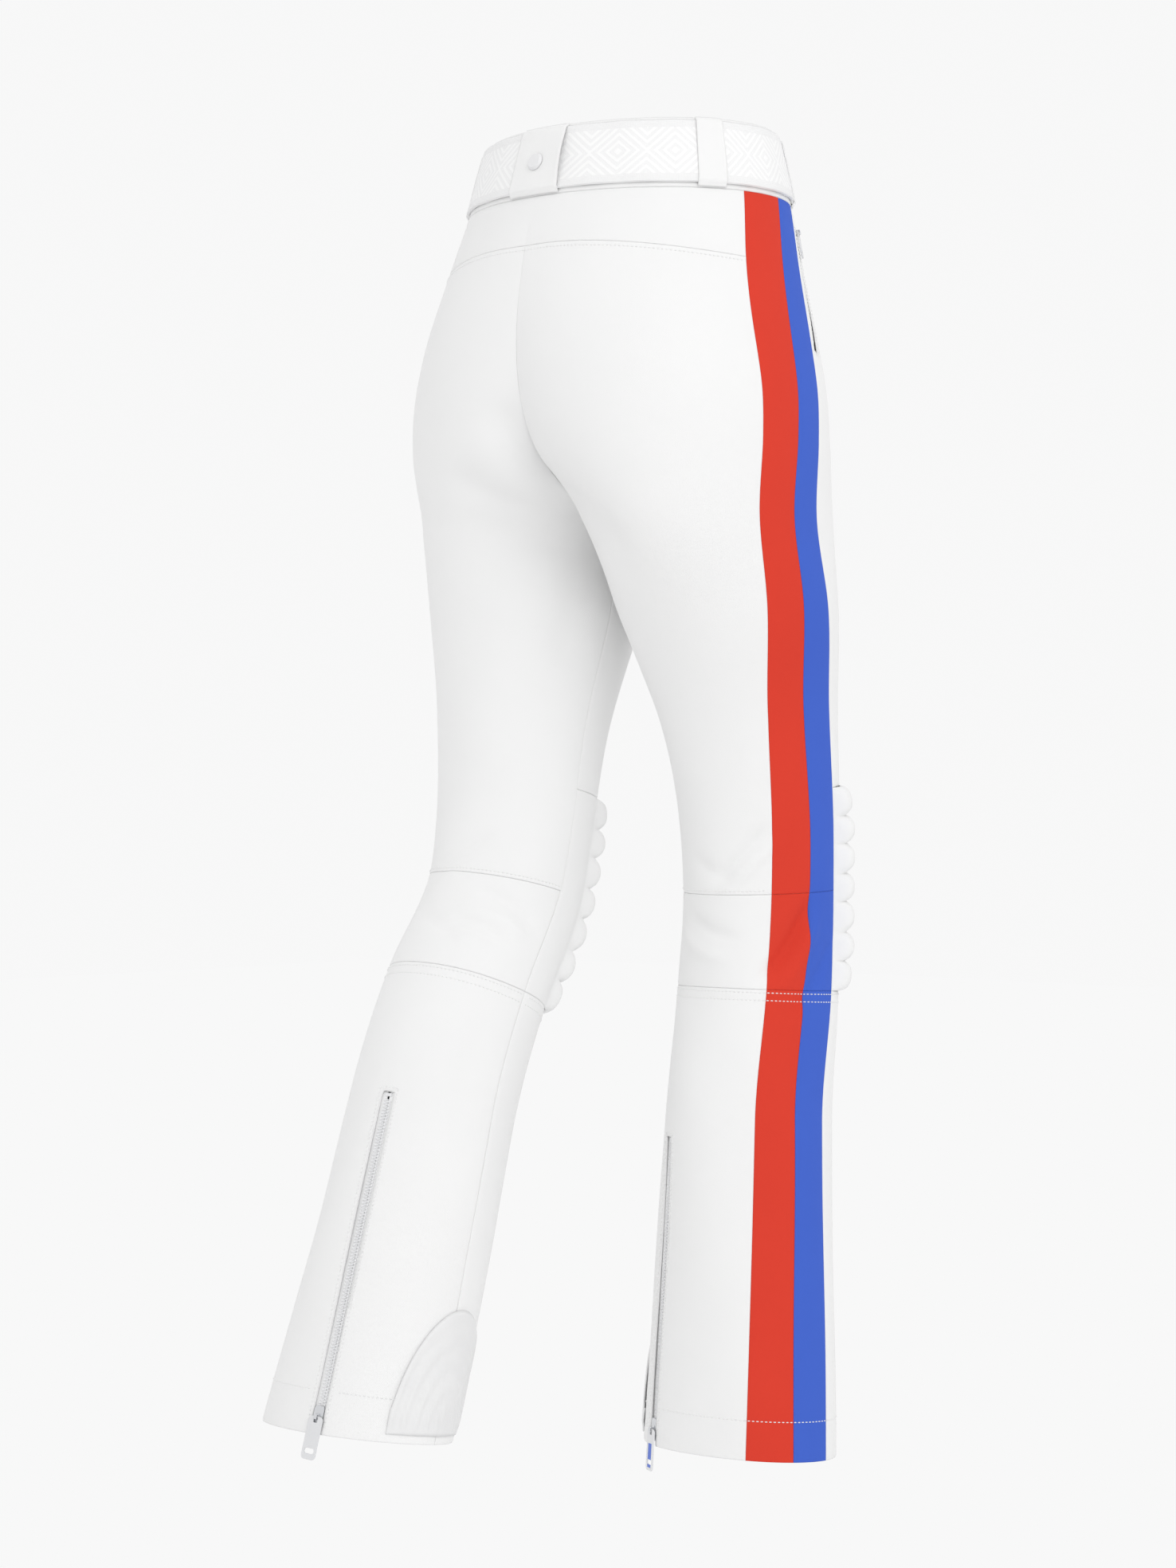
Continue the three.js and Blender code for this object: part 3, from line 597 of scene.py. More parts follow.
fly_ends = [(drop, 360 - value_at(right.centre_back, drop)) for drop in FLY_DROPS]
ZIPS = {"fly": Zip(right, *fly_ends, FLY_DEPTH, in_middle=True)}
for half in HALVES:
    ZIPS[f"{half.name}_leg"] = leg_zip(half)
    ZIPS[f"{half.name}_pocket"] = Zip(half, *pocket_ends(half), ZIP_DEPTH)


# The shell cloth: a white laminated stretch twill, matt, with a fine weave and a little unevenness, cut
# in panels. The red and the blue are the same cloth dyed. Sewing thread is white.
def shell_cloth(name, base, shade, roughness=0.78):
    cloth = Finish(name, roughness=roughness)
    cloth.shader.inputs["Specular IOR Level"].default_value = 0.12
    uv, across, down = cloth.cloth_place()
    cloud = cloth.spots(uv, 14.0)
    grain = cloth.spots(uv, 900.0, 2.0)
    twill = ((across + down) * (2 * math.pi / 0.9)).wave()
    thread = ((across - down) * (2 * math.pi / 0.55)).wave()
    tone = cloth.mix((cloud * 0.7 + grain * 0.3), shade, base)
    cloth.colour(tone)
    cloth.roughness(roughness - 0.06 + cloud * 0.12)
    cloth.relief(twill * 0.5 + thread * 0.3 + grain * 0.8 + cloth.spots(uv, 60.0) * 2.0, 0.06)
    return cloth


white = shell_cloth("white_twill", (0.885, 0.885, 0.883), (0.85, 0.85, 0.85))
red = shell_cloth("red_twill", (0.73, 0.055, 0.031), (0.66, 0.046, 0.026))
blue = shell_cloth("blue_twill", (0.061, 0.14, 0.61), (0.052, 0.12, 0.56))


# Waistband: a plain band of the shell cloth right round, open at the middle of the front. A thin facing of
# lining cloth is sewn inside it, 2 mm short of both edges.
BAND_OPEN_SHARE, FACING_INSET, FACING_DEPTH = 0.0125, 2, 2.5
HALF_GIRTH = 388  # half the way round the waist, in millimetres


def waist_strip(name, finish, start, end, top, bottom, height, thick, columns, rows):
    """A strip round the waist, from one share of half the way round to another: 0 is the middle of the
    back and 1 the middle of the front, with the wearer's right below 0. height is millimetres above the
    bare surface, or a function of the share and the drop."""
    bm, flat = grid(columns, rows)
    share = start + (end - start) * flat[:, 0]
    drop = top + (bottom - top) * flat[:, 1]
    place = np.zeros((len(flat), 3))
    for half in HALVES:
        mine = share * half.sign >= 0
        middle = half.middle(drop[mine], 0.0)
        degrees = middle + np.abs(share[mine]) * (360 - 2 * middle)
        normal = half.normal(drop[mine], degrees)
        on_middle = np.abs(share[mine]) < 1e-6
        normal[on_middle, 0] = 0
        lift = height(share[mine], drop[mine]) if callable(height) else np.full(mine.sum(), height)
        place[mine] = half.point(drop[mine], degrees) + normal * lift[:, None] / 1000
    lay(bm, place, share * (HALF_GIRTH / 1000), drop)
    face = bm.faces[0]
    if face.normal.dot(face.calc_center_median() * Vector((1, 1, 0))) < 0:
        bmesh.ops.reverse_faces(bm, faces=bm.faces[:])
    made = object_from(bm, name, finish)
    thicken(made, thick)
    return made


def soft_edges(drop, top, bottom, turn=0.5):
    """Rounds a strip's long edges in, in millimetres."""
    near = np.minimum(drop - top, bottom - drop)
    return -turn * np.clip(1 - near / 1.6, 0, 1) ** 2


end = 1 - BAND_OPEN_SHARE
waistband = waist_strip(
    "waistband_outer", white, -end, end, 0, WAISTBAND_HEIGHT,
    lambda share, drop: soft_edges(drop, 0, WAISTBAND_HEIGHT), 1.8, 240, 34,
)
lining = shell_cloth("grey_lining", (0.72, 0.74, 0.77), (0.64, 0.66, 0.7), roughness=0.6)
band_facing = waist_strip(
    "waistband_inner", lining, -end, end, FACING_INSET, WAISTBAND_HEIGHT - FACING_INSET, -FACING_DEPTH,
    1.1, 200, 12,
)
for piece, node, slot in (
    (waistband, "waistband", "white_shell"), (band_facing, "waistband_facing", "lining"),
):
    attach(piece, "pants")
    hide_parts(node)


# Belt: one length of stiff elastic webbing through the loops, ribbed along both edges and woven white on
# white with a row of nested diamonds.
BELT_TOP, BELT_WIDTH, BELT_THICK, BELT_LIFT = 3, 50, 2.6, 0.5
BELT_OPEN_SHARE = 0.04
FIGURE_HALF_WIDTH, DIAMOND_LENGTH, DIAMOND_STEP = 18.5, 44, 6.2
webbing = Finish("woven_webbing", roughness=0.62)
belt_uv, belt_across, belt_down = webbing.cloth_place()
from_centre = (belt_down - (BELT_TOP + BELT_WIDTH / 2)).size()
repeat = ((belt_across / DIAMOND_LENGTH).fraction() - 0.5).size() * DIAMOND_LENGTH
diamond = ((from_centre + repeat * 0.9) / DIAMOND_STEP).fraction()
figure = (diamond < 0.5) * (from_centre < FIGURE_HALF_WIDTH)
rib = ((belt_across * (2 * math.pi / 1.3)).wave() + 1) * 0.5
cord = ((belt_down * (2 * math.pi / 1.1)).wave() + 1) * 0.5
edge = from_centre > FIGURE_HALF_WIDTH
strands = webbing.mix(
    rib * 0.5 + webbing.spots(belt_uv, 300.0) * 0.5, (0.83, 0.83, 0.835), (0.87, 0.87, 0.87)
)
webbing.colour(webbing.mix(figure, strands, (0.9, 0.9, 0.9)))
webbing.roughness(0.72 - figure * 0.28)
webbing.relief(figure * 1.2 + rib * (1 - figure) * 0.5 + cord * (0.3 + edge * 0.7), 0.13)
belt = waist_strip(
    "belt_webbing", webbing, BELT_OPEN_SHARE - 1, 1 - BELT_OPEN_SHARE, BELT_TOP, BELT_TOP + BELT_WIDTH,
    lambda share, drop: BELT_LIFT + BELT_THICK + soft_edges(drop, BELT_TOP, BELT_TOP + BELT_WIDTH, 0.8)
    + 0.25 * np.sin(share * 60 + drop * 0.05), BELT_THICK, 260, 30,
)
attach(belt, "pants")
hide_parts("belt")


# Belt loops: folded tapes of the white cloth over the belt, turned in above and below it and topstitched
# along both edges. The wide one in the middle of the back hangs from its top and shuts with a snap.
LOOP_THICK, LOOP_WIDTH, BACK_LOOP_WIDTH, LOOP_CLEAR = 1.3, 24, 44, 0.4
LOOP_LIFT = 2 * BELT_LIFT + BELT_THICK + LOOP_THICK
BACK_LOOP_SHARE, FRONT_LOOP_SHARE = 0.36, 0.72


def over_belt(share, drop):
    """The loop's outside: flat over the belt, close to the waistband above and below it."""
    belt_foot = BELT_TOP + BELT_WIDTH
    down = ease(drop, 0.6, BELT_TOP + 1.5) * (1 - ease(drop, belt_foot - 1.5, WAISTBAND_HEIGHT - 0.6))
    return LOOP_THICK + LOOP_CLEAR + (LOOP_LIFT - LOOP_THICK - LOOP_CLEAR) * down


def belt_loop(name, share, width, bow):
    half_width = width / 2 / HALF_GIRTH

    def height(at, drop):
        off = (at - share) / half_width
        edge_in = 0.35 * np.clip((np.abs(off) * width / 2 - width / 2 + 1.4) / 1.4, 0, 1) ** 2
        belly = np.sin(np.pi * np.clip(drop / WAISTBAND_HEIGHT, 0, 1)) ** 1.5
        return over_belt(at, drop) - edge_in + bow * belly * np.clip(-off, 0, 1) ** 2

    return waist_strip(
        name, white, share - half_width, share + half_width, 0.4, WAISTBAND_HEIGHT - 0.3, height, LOOP_THICK,
        math.ceil(width / 1.1), 48,
    )


for half in HALVES:
    for place, share in (("back", BACK_LOOP_SHARE), ("front", FRONT_LOOP_SHARE)):
        loop = belt_loop(f"{half.name}_{place}_loop", half.sign * share, LOOP_WIDTH, 0.6)
        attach(loop, "pants")
        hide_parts(f"{half.name}_{place}_belt_loop")
back_loop = belt_loop("wide_back_loop", 0.0, BACK_LOOP_WIDTH, 3.5)
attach(back_loop, "back_loop")
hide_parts("centre_back_loop")


# Back yoke: one curved piece under the waistband, from stripe to stripe over the middle of the back. Its
# lower seam is 15 mm lower at the stripes than in the middle.
def joined(pieces, weld):
    """One object out of several that share a material, welded where their edges meet."""
    bm = bmesh.new()
    for piece in pieces:
        bm.from_mesh(piece.data)
        bpy.data.objects.remove(piece)
    bmesh.ops.remove_doubles(bm, verts=bm.verts[:], dist=weld)
    return bm


yoke_halves = [
    cut_cloth(f"{half.name}_yoke", half, white, half.centre_back, half.red_edge, WAISTBAND_HEIGHT, yoke_line,
              flat_start=True)
    for half in HALVES
]
yoke = object_from(joined(yoke_halves, weld=0.0003), "yoke", white)
thicken(yoke, SHELL)
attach(yoke, "pants")
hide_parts("back_yoke")


# Back panels: seat and thigh in one piece, sewn together at the middle of the back and to the red stripe,
# down to the seam above the knee. Front panels run from the waistband to the knee pad.
for half in HALVES:
    back = cut_cloth(
        f"{half.name}_seat_and_thigh", half, white, half.centre_back, half.red_edge, yoke_line, KNEE_TOP_DROP,
        flat_start=True,
    )
    front = cut_cloth(
        f"{half.name}_front_thigh", half, white, half.blue_edge, half.centre_front, WAISTBAND_HEIGHT,
        PAD_TOP_DROP, slits=(ZIPS[f"{half.name}_pocket"], ZIPS["fly"]),
    )
    for piece, node in ((back, "back_panel"), (front, "front_panel")):
        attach(piece, "pants")
        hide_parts(f"{half.name}_{node}")


# Side stripes: a red strip behind and a blue strip in front, from waistband to hem, seamed at the knee. The
# red strip is 8 mm wider at the waist and tapers down the thigh.
for half in HALVES:
    for colour, near, far, finish in (
        ("red", half.red_edge, half.side, red), ("blue", half.side, half.blue_edge, blue),
    ):
        thigh, knee, shin = (
            cut_cloth(
                f"{half.name}_{colour}_stripe_{part}", half, finish, near, far, top, bottom, inside=white,
            )
            for part, top, bottom in (
                ("thigh", WAISTBAND_HEIGHT, KNEE_TOP_DROP),
                ("knee", KNEE_TOP_DROP, KNEE_BOTTOM_DROP),
                ("shin", KNEE_BOTTOM_DROP, half.hem),
            )
        )
        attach(thigh, "pants")
        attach(shin, f"{half.name}_shin")
        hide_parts(f"{half.name}_{colour}_thigh_stripe")
        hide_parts(f"{half.name}_{colour}_knee_stripe")
        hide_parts(f"{half.name}_{colour}_shin_stripe")
        bend_knee(half, knee)


# Knees: a plain panel behind, and in front a padded panel quilted into seven level ribs over wadding,
# with a plain strip on the inner side of the knee.
RIBS = 7
RIB_HEIGHT = 11.0
PAD_INNER_EDGE = 322  # degrees round the leg
PAD_SIDE_TAPER = 13.0  # millimetres
PAD_BASE = 1.2  # wadding under the dips between ribs


def quilted(half, drop, degrees):
    """The wadding's height over the ribs, in millimetres."""
    share = np.clip((drop - PAD_TOP_DROP) / (KNEE_BOTTOM_DROP - PAD_TOP_DROP), 0, 1)
    along = share * RIBS
    rib = np.sqrt(np.clip(1 - (2 * (along % 1) - 1) ** 2, 0, 1)) ** 0.85
    from_side = (degrees - half.side(drop, BLUE_WIDTH)) * half.reach(drop, degrees)
    from_inner = (PAD_INNER_EDGE - degrees) * half.reach(drop, degrees)
    sides = ease(np.minimum(from_side, from_inner), 0, PAD_SIDE_TAPER)
    ends = 0.75 + 0.25 * ease(np.minimum(along, RIBS - along), 0, 1.5)
    pucker = 0.35 * np.sin(degrees * 0.9 + along * 2) * (1 - rib)
    base = PAD_BASE * ease(np.minimum(along, RIBS - along), 0, 0.12)
    return (base + RIB_HEIGHT * rib * ends + pucker * base / PAD_BASE) * sides


for half in HALVES:
    back = cut_cloth(
        f"{half.name}_knee_hollow", half, white, 0, half.red_edge, KNEE_TOP_DROP, KNEE_BOTTOM_DROP, pitch=2.6,
    )
    pad = cut_cloth(
        f"{half.name}_knee_quilt", half, white, half.blue_edge, 360, PAD_TOP_DROP, KNEE_BOTTOM_DROP,
        pitch=2.0, lift=quilted,
    )
    for piece, node, slot in ((back, "knee_back", "white_shell"), (pad, "knee_pad", "quilted_shell")):
        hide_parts(f"{half.name}_{node}")
        bend_knee(half, piece)


# Below the knee: a back panel slit for the zip and a front panel, flared to the hem, which is turned up.
# They meet the stripes at the side and each other down the inside of the leg.
for half in HALVES:
    back = cut_cloth(
        f"{half.name}_calf", half, white, 0, half.red_edge, KNEE_BOTTOM_DROP, half.hem, pitch=2.6,
        slits=(ZIPS[f"{half.name}_leg"],),
    )
    front = cut_cloth(
        f"{half.name}_front_shin", half, white, half.blue_edge, 360, KNEE_BOTTOM_DROP, half.hem,
    )
    for piece, node in ((back, "lower_back_panel"), (front, "lower_front_panel")):
        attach(piece, f"{half.name}_shin")
        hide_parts(f"{half.name}_{node}")


# Snow gaiters: a thin lining cuff inside each shin, sewn in above the zip and open at one side. It hangs
# clear of the shell below that seam, in small gathers.
GAITER_DEPTH, GAITER_SEWN, GAITER_ABOVE_ZIP, GAITER_HEM = 11.5, 3.2, 22, 42
for half in HALVES:
    top = leg_zip_top(half) - GAITER_ABOVE_ZIP

    def tucked(_, drop, degrees, top=top):
        gathers = 1.2 * np.sin(np.radians(degrees) * 30) * ease(drop, top + 60, top + 200)
        return -GAITER_SEWN - (GAITER_DEPTH - GAITER_SEWN) * ease(drop, top + 12, top + 34) + gathers

    gaiter = cut_cloth(f"{half.name}_cuff", half, lining, 2, 358, top, half.hem - GAITER_HEM, lift=tucked,
                       thick=0.6, pitch=3.6)
    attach(gaiter, f"{half.name}_shin")
    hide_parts(f"{half.name}_gaiter")


# Scuff guards: an arched patch of white coated rubber on the inner ankle, embossed with even arches. It is
# sewn on over the seam down the inside of the leg.
GUARD_HEIGHT, GUARD_HEM, GUARD_FROM, GUARD_TO = 92, 6, -48, 36
guard_rubber = Finish("white_rubber", roughness=0.55)
guard_uv = guard_rubber.cloth_place()[0]
guard_cloud = guard_rubber.spots(guard_uv, 40.0)
guard_rubber.colour(guard_rubber.mix(guard_cloud, (0.75, 0.75, 0.755), (0.81, 0.81, 0.81)))
guard_rubber.relief(guard_rubber.spots(guard_uv, 700.0), 0.05)


def arch_share(degrees):
    return np.clip((degrees - GUARD_FROM) / (GUARD_TO - GUARD_FROM), 0, 1)


def guard_arch(half, degrees):
    round_top = np.sqrt(np.clip(1 - (2 * arch_share(degrees) - 1) ** 2, 0.04, 1))
    return half.hem - GUARD_HEM - GUARD_HEIGHT * round_top


def embossed(half, drop, degrees):
    """Ridges that follow the arch, one inside the other."""
    sideways = (2 * arch_share(degrees) - 1) * 0.72
    upward = (half.hem - GUARD_HEM - drop) / GUARD_HEIGHT
    ring = np.sqrt(sideways**2 * 1.9 + upward**2)
    return 1.1 * ease(np.sin(ring * 2 * math.pi * 5.5), -0.2, 0.6) * ease(upward, 0.02, 0.1)


for half in HALVES:
    guard = cut_cloth(
        f"{half.name}_ankle_guard", half, guard_rubber, GUARD_FROM, GUARD_TO,
        lambda degrees, h=half: guard_arch(h, degrees), half.hem - GUARD_HEM, pitch=1.3, under=-1.5,
        thick=1.2, lift=embossed,
    )
    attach(guard, f"{half.name}_shin")
    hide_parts(f"{half.name}_scuff_guard")


# Zips: two woven tapes with a row of moulded teeth each, interlocked down the middle, set behind the slit.
# The slider is cast metal with a square bridge, and its pull is a moulded tab with a slot near its end.
TAPE_INNER, TAPE_HALF_WIDTH, TAPE_HALF_THICK = 1.0, 11.0, 0.4
TEETH_DEEP, TOOTH_PITCH, FIRST_TOOTH = 2.0, 2.5, 4
TOOTH = (-0.9, 2.7, 0.5, 0.55)  # from, to, share of the depth and half height: the part that interlocks
FOOT = (1.7, 3.2, 0.6, 0.75)  # the part that grips the tape's edge


def rounded(half_width, low, high, radius, steps=5):
    """A rectangle with round corners, as (across, up) points."""
    corners = ((half_width, high), (-half_width, high), (-half_width, low), (half_width, low))
    points = []
    for quarter, (x, z) in enumerate(corners):
        centre = (x - math.copysign(radius, x), z - radius if z == high else z + radius)
        for k in range(steps + 1):
            turn = math.radians(90 * quarter + 90 * k / steps)
            points.append((centre[0] + radius * math.cos(turn), centre[1] + radius * math.sin(turn)))
    return points


def plate(bm, outer, holes, inner_y, outer_y):
    """A flat shape with holes, drawn as (across, up) and laid facing out."""
    edges = []
    for loop in (outer, *holes):
        verts = [bm.verts.new((x, inner_y, z)) for x, z in loop]
        edges += [bm.edges.new((a, b)) for a, b in zip(verts, verts[1:] + verts[:1])]
    flat = bmesh.ops.triangle_fill(bm, use_beauty=True, use_dissolve=False, edges=edges)["geom"]
    faces = [item for item in flat if isinstance(item, bmesh.types.BMFace)]
    raised = bmesh.ops.extrude_face_region(bm, geom=faces)["geom"]
    for item in raised:
        if isinstance(item, bmesh.types.BMVert):
            item.co.y = outer_y


def turned(name, bm, finish, matrix, bevel):
    """A finished piece from a mesh drawn in a zip's own millimetres."""
    bmesh.ops.recalc_face_normals(bm, faces=bm.faces[:])
    bmesh.ops.transform(bm, matrix=matrix, verts=bm.verts[:])
    if matrix.determinant() < 0:
        bmesh.ops.reverse_faces(bm, faces=bm.faces[:])
    made = object_from(bm, name, finish, smooth=False)
    edge = made.modifiers.new("soft_edges", "BEVEL")
    edge.width, edge.segments, edge.limit_method = bevel / 1000, 2, "ANGLE"
    return made


def block(bm, x0, x1, y0, y1, z0, z1):
    made = bmesh.ops.create_cube(bm, size=1.0)["verts"]
    bmesh.ops.scale(bm, vec=(x1 - x0, y1 - y0, z1 - z0), verts=made)
    bmesh.ops.translate(bm, vec=((x0 + x1) / 2, (y0 + y1) / 2, (z0 + z1) / 2), verts=made)


def solid_finish(name, base, shade, roughness, grain, depth, metallic=0.0):
    """Metal, plastic or cloth without a cut of its own: faint mottling in tone and gloss, and fine grain."""
    made = Finish(name, roughness=roughness, metallic=metallic)
    place = made.node("ShaderNodeTexCoord")[3]
    cloud, fine = made.spots(place, 90.0), made.spots(place, grain, 2.0)
    made.colour(made.mix(cloud * 0.6 + fine * 0.4, shade, base))
    made.roughness(roughness - 0.08 + cloud * 0.16)
    made.relief(fine, depth)
    return made


metal = solid_finish("coated_metal", (0.74, 0.75, 0.77), (0.6, 0.61, 0.63), 0.32, 1500.0, 0.02, metallic=0.85)
teeth_plastic = solid_finish("tooth_plastic", (0.82, 0.82, 0.83), (0.74, 0.745, 0.76), 0.38, 900.0, 0.02)
pull_plastic = solid_finish("pull_plastic", (0.74, 0.745, 0.76), (0.66, 0.665, 0.68), 0.45, 1200.0, 0.03)
# The right leg's pull is the same grey plastic. The blue strip up its middle and round its slot is painted
# shade: the shadow in the tab's slot and middle, coloured blue.
pull_with_painted_shade = solid_finish("blue_pull_plastic", (0.75, 0.755, 0.77), (0.68, 0.685, 0.7), 0.45, 1200.0, 0.03)
_, pull_across, pull_up = pull_with_painted_shade.cloth_place()
SHADE_STRIP_HALF_WIDTH, SHADE_STRIP_FOOT, SHADE_STRIP_TOP = 3.3, 2.4, 21.0
painted_shade_strip = (pull_across.size() < SHADE_STRIP_HALF_WIDTH) * (pull_up > SHADE_STRIP_FOOT) * (pull_up < SHADE_STRIP_TOP)
pull_with_painted_shade.colour(pull_with_painted_shade.mix(painted_shade_strip, (0.75, 0.755, 0.77), (0.09, 0.17, 0.62)))
buckle_plastic = solid_finish("buckle_plastic", (0.8, 0.8, 0.81), (0.73, 0.73, 0.74), 0.42, 1200.0, 0.03)
tape_cloth = solid_finish("zip_tape", (0.88, 0.88, 0.88), (0.82, 0.82, 0.825), 0.8, 2600.0, 0.12)
bag_cloth = solid_finish("bag_cloth", (0.72, 0.74, 0.77), (0.64, 0.66, 0.7), 0.6, 2200.0, 0.12)


def zip_tapes(name, zip_line, body, open_at_top):
    tapes, teeth = bmesh.new(), bmesh.new()
    for side in (-1, 1):
        inner, outer = sorted((side * TAPE_INNER, side * TAPE_HALF_WIDTH))
        block(tapes, inner, outer, -TAPE_HALF_THICK, TAPE_HALF_THICK, 0, zip_line.length)
        count = int((zip_line.length - 2 * FIRST_TOOTH) / TOOTH_PITCH)
        for k in range(count):
            z = FIRST_TOOTH + k * TOOTH_PITCH + (TOOTH_PITCH / 2 if side > 0 else 0)
            for near, far, deep, tall in (TOOTH, FOOT):
                x0, x1 = sorted((side * near, side * far))
                block(teeth, x0, x1, -TEETH_DEEP * deep, TEETH_DEEP * deep, z - tall, z + tall)
    stop = 1.5 if open_at_top else zip_line.length - 3.5
    block(teeth, -3, 3, -1.2, 1.2, stop, stop + 2.5)
    for bm in (tapes, teeth):
        bmesh.ops.translate(bm, vec=(0, zip_line.sunk, 0), verts=bm.verts[:])
    for part, bm, finish in (("tapes", tapes, tape_cloth), ("teeth", teeth, teeth_plastic)):
        made = turned(f"{name}_zip_{part}_woven", bm, finish, zip_line.matrix(), 0.15)
        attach(made, body)
        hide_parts(f"{name}_zip_tapes")


EYE, LUG, EYE_HEIGHT, PLATE, PLATE_GAP = 1.9, 1.0, 0.9, 1.2, 1.6


def zip_slider(name, zip_line, width, length, raised, body):
    bm = bmesh.new()
    half = width / 2
    sunk = zip_line.sunk
    outline = [
        (-half * 0.66, 0.4), (-half * 0.5, 0), (half * 0.5, 0), (half * 0.66, 0.4),
        (half * 0.8, length * 0.3), (half, length * 0.5), (half, length * 0.86), (half * 0.8, length),
        (-half * 0.8, length), (-half, length * 0.86), (-half, length * 0.5), (-half * 0.8, length * 0.3),
    ]
    plate(bm, outline, (), PLATE_GAP + sunk, PLATE_GAP + PLATE + sunk)
    plate(bm, outline, (), sunk - PLATE_GAP - PLATE, sunk - PLATE_GAP)
    block(bm, -0.45, 0.45, sunk - PLATE_GAP - 0.2, sunk + PLATE_GAP + 0.2, length * 0.62, length - 1)
    foot = PLATE_GAP + PLATE - 0.1 + sunk
    floor = ZIP_DEPTH + EYE_HEIGHT
    top = floor + EYE + LUG
    middle, reach = length / 2, EYE / 2 + LUG
    low, high = middle - reach, middle + reach
    arch = [
        (low - 1.4, foot), (low, floor + 0.6), (low, top - 0.7), (low + 0.7, top),
        (high - 0.7, top), (high, top - 0.7), (high, floor + 0.6), (high + 1.4, foot),
    ]
    low, high = middle - EYE / 2, middle + EYE / 2
    hole = [(low, floor), (low, floor + EYE), (high, floor + EYE), (high, floor)]
    rings = []
    for x in (-1.2, 1.2):
        edges = []
        for loop in (arch, hole):
            verts = [bm.verts.new((x, y, z)) for z, y in loop]
            rings.append(verts)
            edges += [bm.edges.new((a, b)) for a, b in zip(verts, verts[1:] + verts[:1])]
        bmesh.ops.triangle_fill(bm, use_beauty=True, use_dissolve=False, edges=edges)
    for near, far in ((rings[0], rings[2]), (rings[1], rings[3])):
        count = len(near)
        for k in range(count):
            bm.faces.new((near[k], near[(k + 1) % count], far[(k + 1) % count], far[k]))
    made = turned(f"{name}_zip_slider_cast", bm, metal, zip_line.matrix(raised), 0.3)
    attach(made, body)
    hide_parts(f"{name}_zip_slider")


def zip_pull(name, zip_line, size, raised, body, finish):
    width, length, slider_length = size
    middle = slider_length / 2
    low, bar_y = middle - length, ZIP_DEPTH + EYE_HEIGHT + EYE / 2
    outer = rounded(width / 2, low, middle + 0.5, min(width * 0.3, 3.2))
    window = rounded(1.8, middle - EYE - LUG - 1.4, middle - 0.5, 0.4, 2)
    foot = low + width * 0.35
    slot_hole = rounded(width * 0.33, foot, foot + width * 0.3, width * 0.12, 3)
    bm = bmesh.new()
    plate(bm, outer, (window[::-1], slot_hole[::-1]), bar_y - 0.5, bar_y + 0.5)
    uv_layer = bm.loops.layers.uv.new("cut")
    for face in bm.faces:
        for loop in face.loops:
            loop[uv_layer].uv = (loop.vert.co.x / 1000, (loop.vert.co.z - low) / 1000)
    made = turned(f"{name}_zip_pull_tab", bm, finish, zip_line.matrix(raised), 0.22)
    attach(made, body)
    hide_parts(f"{name}_zip_pull")


SLIDERS = {"leg": (9, 17, 13, 32), "fly": (8, 12, 9, 20), "pocket": (8, 11, 8, 22)}
for name, zip_line in ZIPS.items():
    kind = name.split("_")[-1]
    width, length, pull_width, pull_length = SLIDERS[kind]
    raised = {"leg": 1, "fly": zip_line.length - 14, "pocket": zip_line.length - 18}[kind]
    body = name.replace("_leg", "_shin") if kind == "leg" else "pants"
    right_leg = name == "right_leg"
    zip_tapes(name, zip_line, body, kind == "fly")
    zip_slider(name, zip_line, width, length, raised, f"{name}_slider")
    zip_pull(
        name, zip_line, (pull_width, pull_length, length), raised, f"{name}_pull",
        pull_with_painted_shade if right_leg else pull_plastic,
    )


# What stays as built: the pocket bags and the fly's facing, of lining cloth, and the belt's buckle and the
# snap, of moulded plastic.
for node, finish in (
    ("left_pocket_bag", bag_cloth), ("right_pocket_bag", bag_cloth), ("fly_facing", bag_cloth),
    ("belt_buckle_base", buckle_plastic), ("belt_buckle_lever", buckle_plastic),
    ("centre_back_snap", buckle_plastic),
):
    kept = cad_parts[node]
    kept.data.materials.clear()
    kept.data.materials.append(finish.material)


# Topstitching: white thread, a stitch every 3 mm. Rows run beside the yoke, the seat seam and the knee's
# seams, round each leg zip and each pocket, and in one line round the hem.
thread = Finish("white_thread", roughness=0.55)
thread_mottle_and_shade = thread.spots(thread.node("ShaderNodeTexCoord")[3], 800.0)
# The thread's tone varies at random from 0.8 to 0.9. Its darker end is partly painted shade, set a little
# below the white cloth so that the rows read as faint dotted lines.
thread.colour(thread.mix(thread_mottle_and_shade, (0.8, 0.8, 0.8), (0.9, 0.9, 0.9)))
STITCH_LENGTH, STITCH_STEP, STITCH_WIDTH = 2.2, 3.3, 0.42
ZIP_ROW, KNEE_ROWS, EDGE_ROW, HEM_ROW = 8.3, (2.6, 8.6), 3.5, 30.0  # millimetres from what they run beside
SPINDLE = [(-1.0, 0.25, -0.5), (-0.6, 0.9, 0.1), (0.0, 1.0, 0.45), (0.6, 0.9, 0.1), (1.0, 0.25, -0.5)]


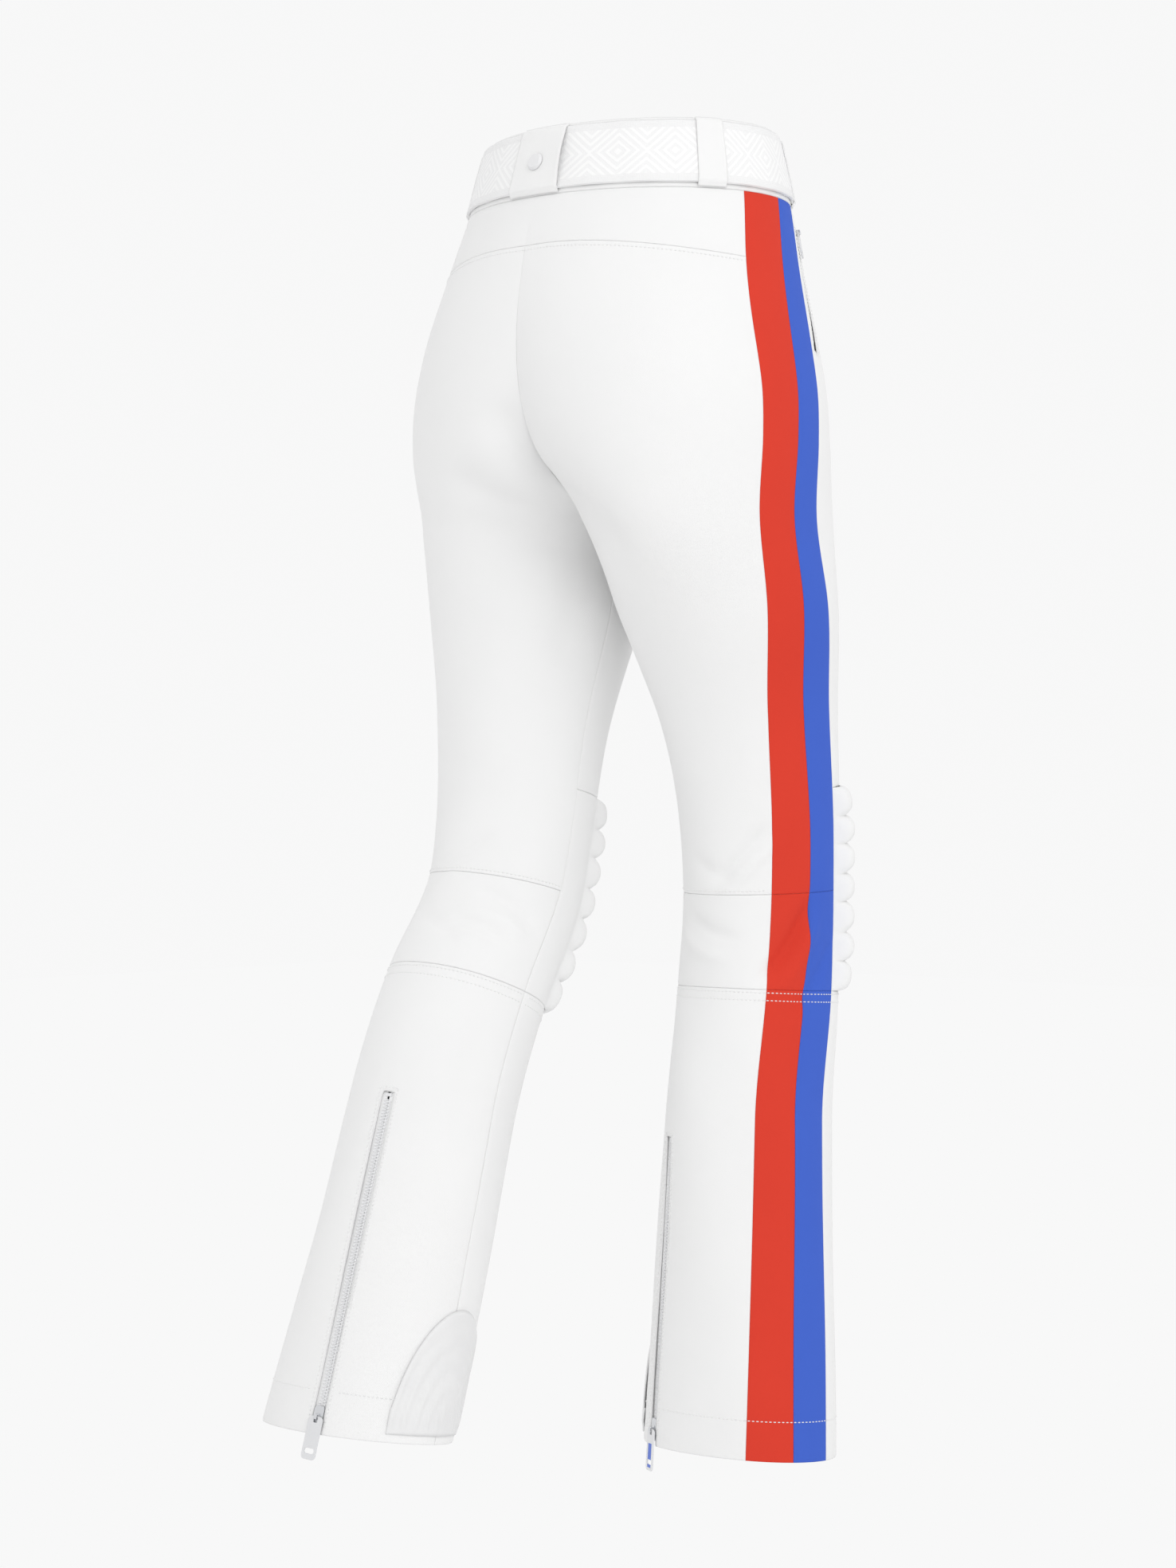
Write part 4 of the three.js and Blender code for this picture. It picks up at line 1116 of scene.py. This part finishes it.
def stitches(bm, half, drops, degrees, over=0.0):
    """Stitches along a line given by its drops and degrees, this far over the shell."""
    place = half.point(drops, degrees)
    normal = half.normal(drops, degrees)
    place = place + normal * (half.rise(drops, degrees) + over + 0.1)[:, None] / 1000
    run = np.concatenate([[0], np.cumsum(np.linalg.norm(np.diff(place, axis=0), axis=1))]) * 1000
    for k in range(int(run[-1] / STITCH_STEP)):
        ends = []
        for at in (k * STITCH_STEP, k * STITCH_STEP + STITCH_LENGTH):
            ends.append(np.array([np.interp(at, run, place[:, c]) for c in range(3)]))
        middle = (ends[0] + ends[1]) / 2
        along = (ends[1] - ends[0]) / 2
        out = np.array([np.interp((k + 0.5) * STITCH_STEP, run, normal[:, c]) for c in range(3)])
        side = np.cross(along, out)
        side /= np.linalg.norm(side)
        rings = []
        for step, wide, high in SPINDLE:
            centre = middle + along * step + out * (high * STITCH_WIDTH / 1000)
            offsets = (side * wide, out * wide, -side * wide, -out * wide)
            rings.append([bm.verts.new(centre + off * STITCH_WIDTH / 1000) for off in offsets])
        for near, far in zip(rings, rings[1:]):
            for a in range(4):
                bm.faces.new((near[a], near[(a + 1) % 4], far[(a + 1) % 4], far[a]))
        bm.faces.new(rings[0][::-1])
        bm.faces.new(rings[-1])


def beside(half, near, far, off):
    """A straight line between two ends, each (drop, degrees), moved this far to one side."""
    drops = np.linspace(near[0], far[0], 120)
    degrees = np.linspace(near[1], far[1], 120)
    return drops, degrees + off / half.reach(drops, degrees)


for half in HALVES:
    thigh, shin = bmesh.new(), bmesh.new()
    seat_ends = value_at(half.middle, 98.0), value_at(half.red_edge, 106.0) - 1
    seat = np.linspace(*seat_ends, 160)
    stitches(thigh, half, yoke_line(seat) + EDGE_ROW, seat)
    full = np.linspace(2, 358, 320)
    plain = full[full < value_at(half.red_edge, KNEE_TOP_DROP) - 1]
    stitches(thigh, half, np.full_like(plain, KNEE_TOP_DROP - 3.0), plain)
    for off in KNEE_ROWS:
        stitches(shin, half, np.full_like(full, KNEE_BOTTOM_DROP + off), full)
    for part in (full[full < half.zip_at - 9], full[full > half.zip_at + 9]):
        stitches(shin, half, np.full_like(part, half.hem - HEM_ROW), part)
    top = leg_zip_top(half) - 3
    leg_ends = (top, half.zip_at), (half.hem - 2.0, half.zip_at)
    pocket_row = pocket_ends(half, (POCKET_DROPS[0] - 3, POCKET_DROPS[1] + 3))
    for off in (-ZIP_ROW, ZIP_ROW):
        stitches(shin, half, *beside(half, *leg_ends, off))
    reach = half.reach(np.array([leg_zip_top(half)]), np.array([half.zip_at * 1.0]))
    across = half.zip_at + np.linspace(-ZIP_ROW, ZIP_ROW, 12) / reach
    stitches(shin, half, np.full_like(across, top), across)
    for off in (-ZIP_ROW, ZIP_ROW):
        stitches(thigh, half, *beside(half, *pocket_row, off))
    guard = np.linspace(GUARD_FROM + 3, GUARD_TO - 3, 120)
    stitches(shin, half, guard_arch(half, guard) + EDGE_ROW, guard, over=2.0)
    for bm, body, name in ((thigh, "pants", "thigh"), (shin, f"{half.name}_shin", "shin")):
        bmesh.ops.recalc_face_normals(bm, faces=bm.faces[:])
        sewn = object_from(bm, f"{half.name}_{name}_thread", thread)
        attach(sewn, body)
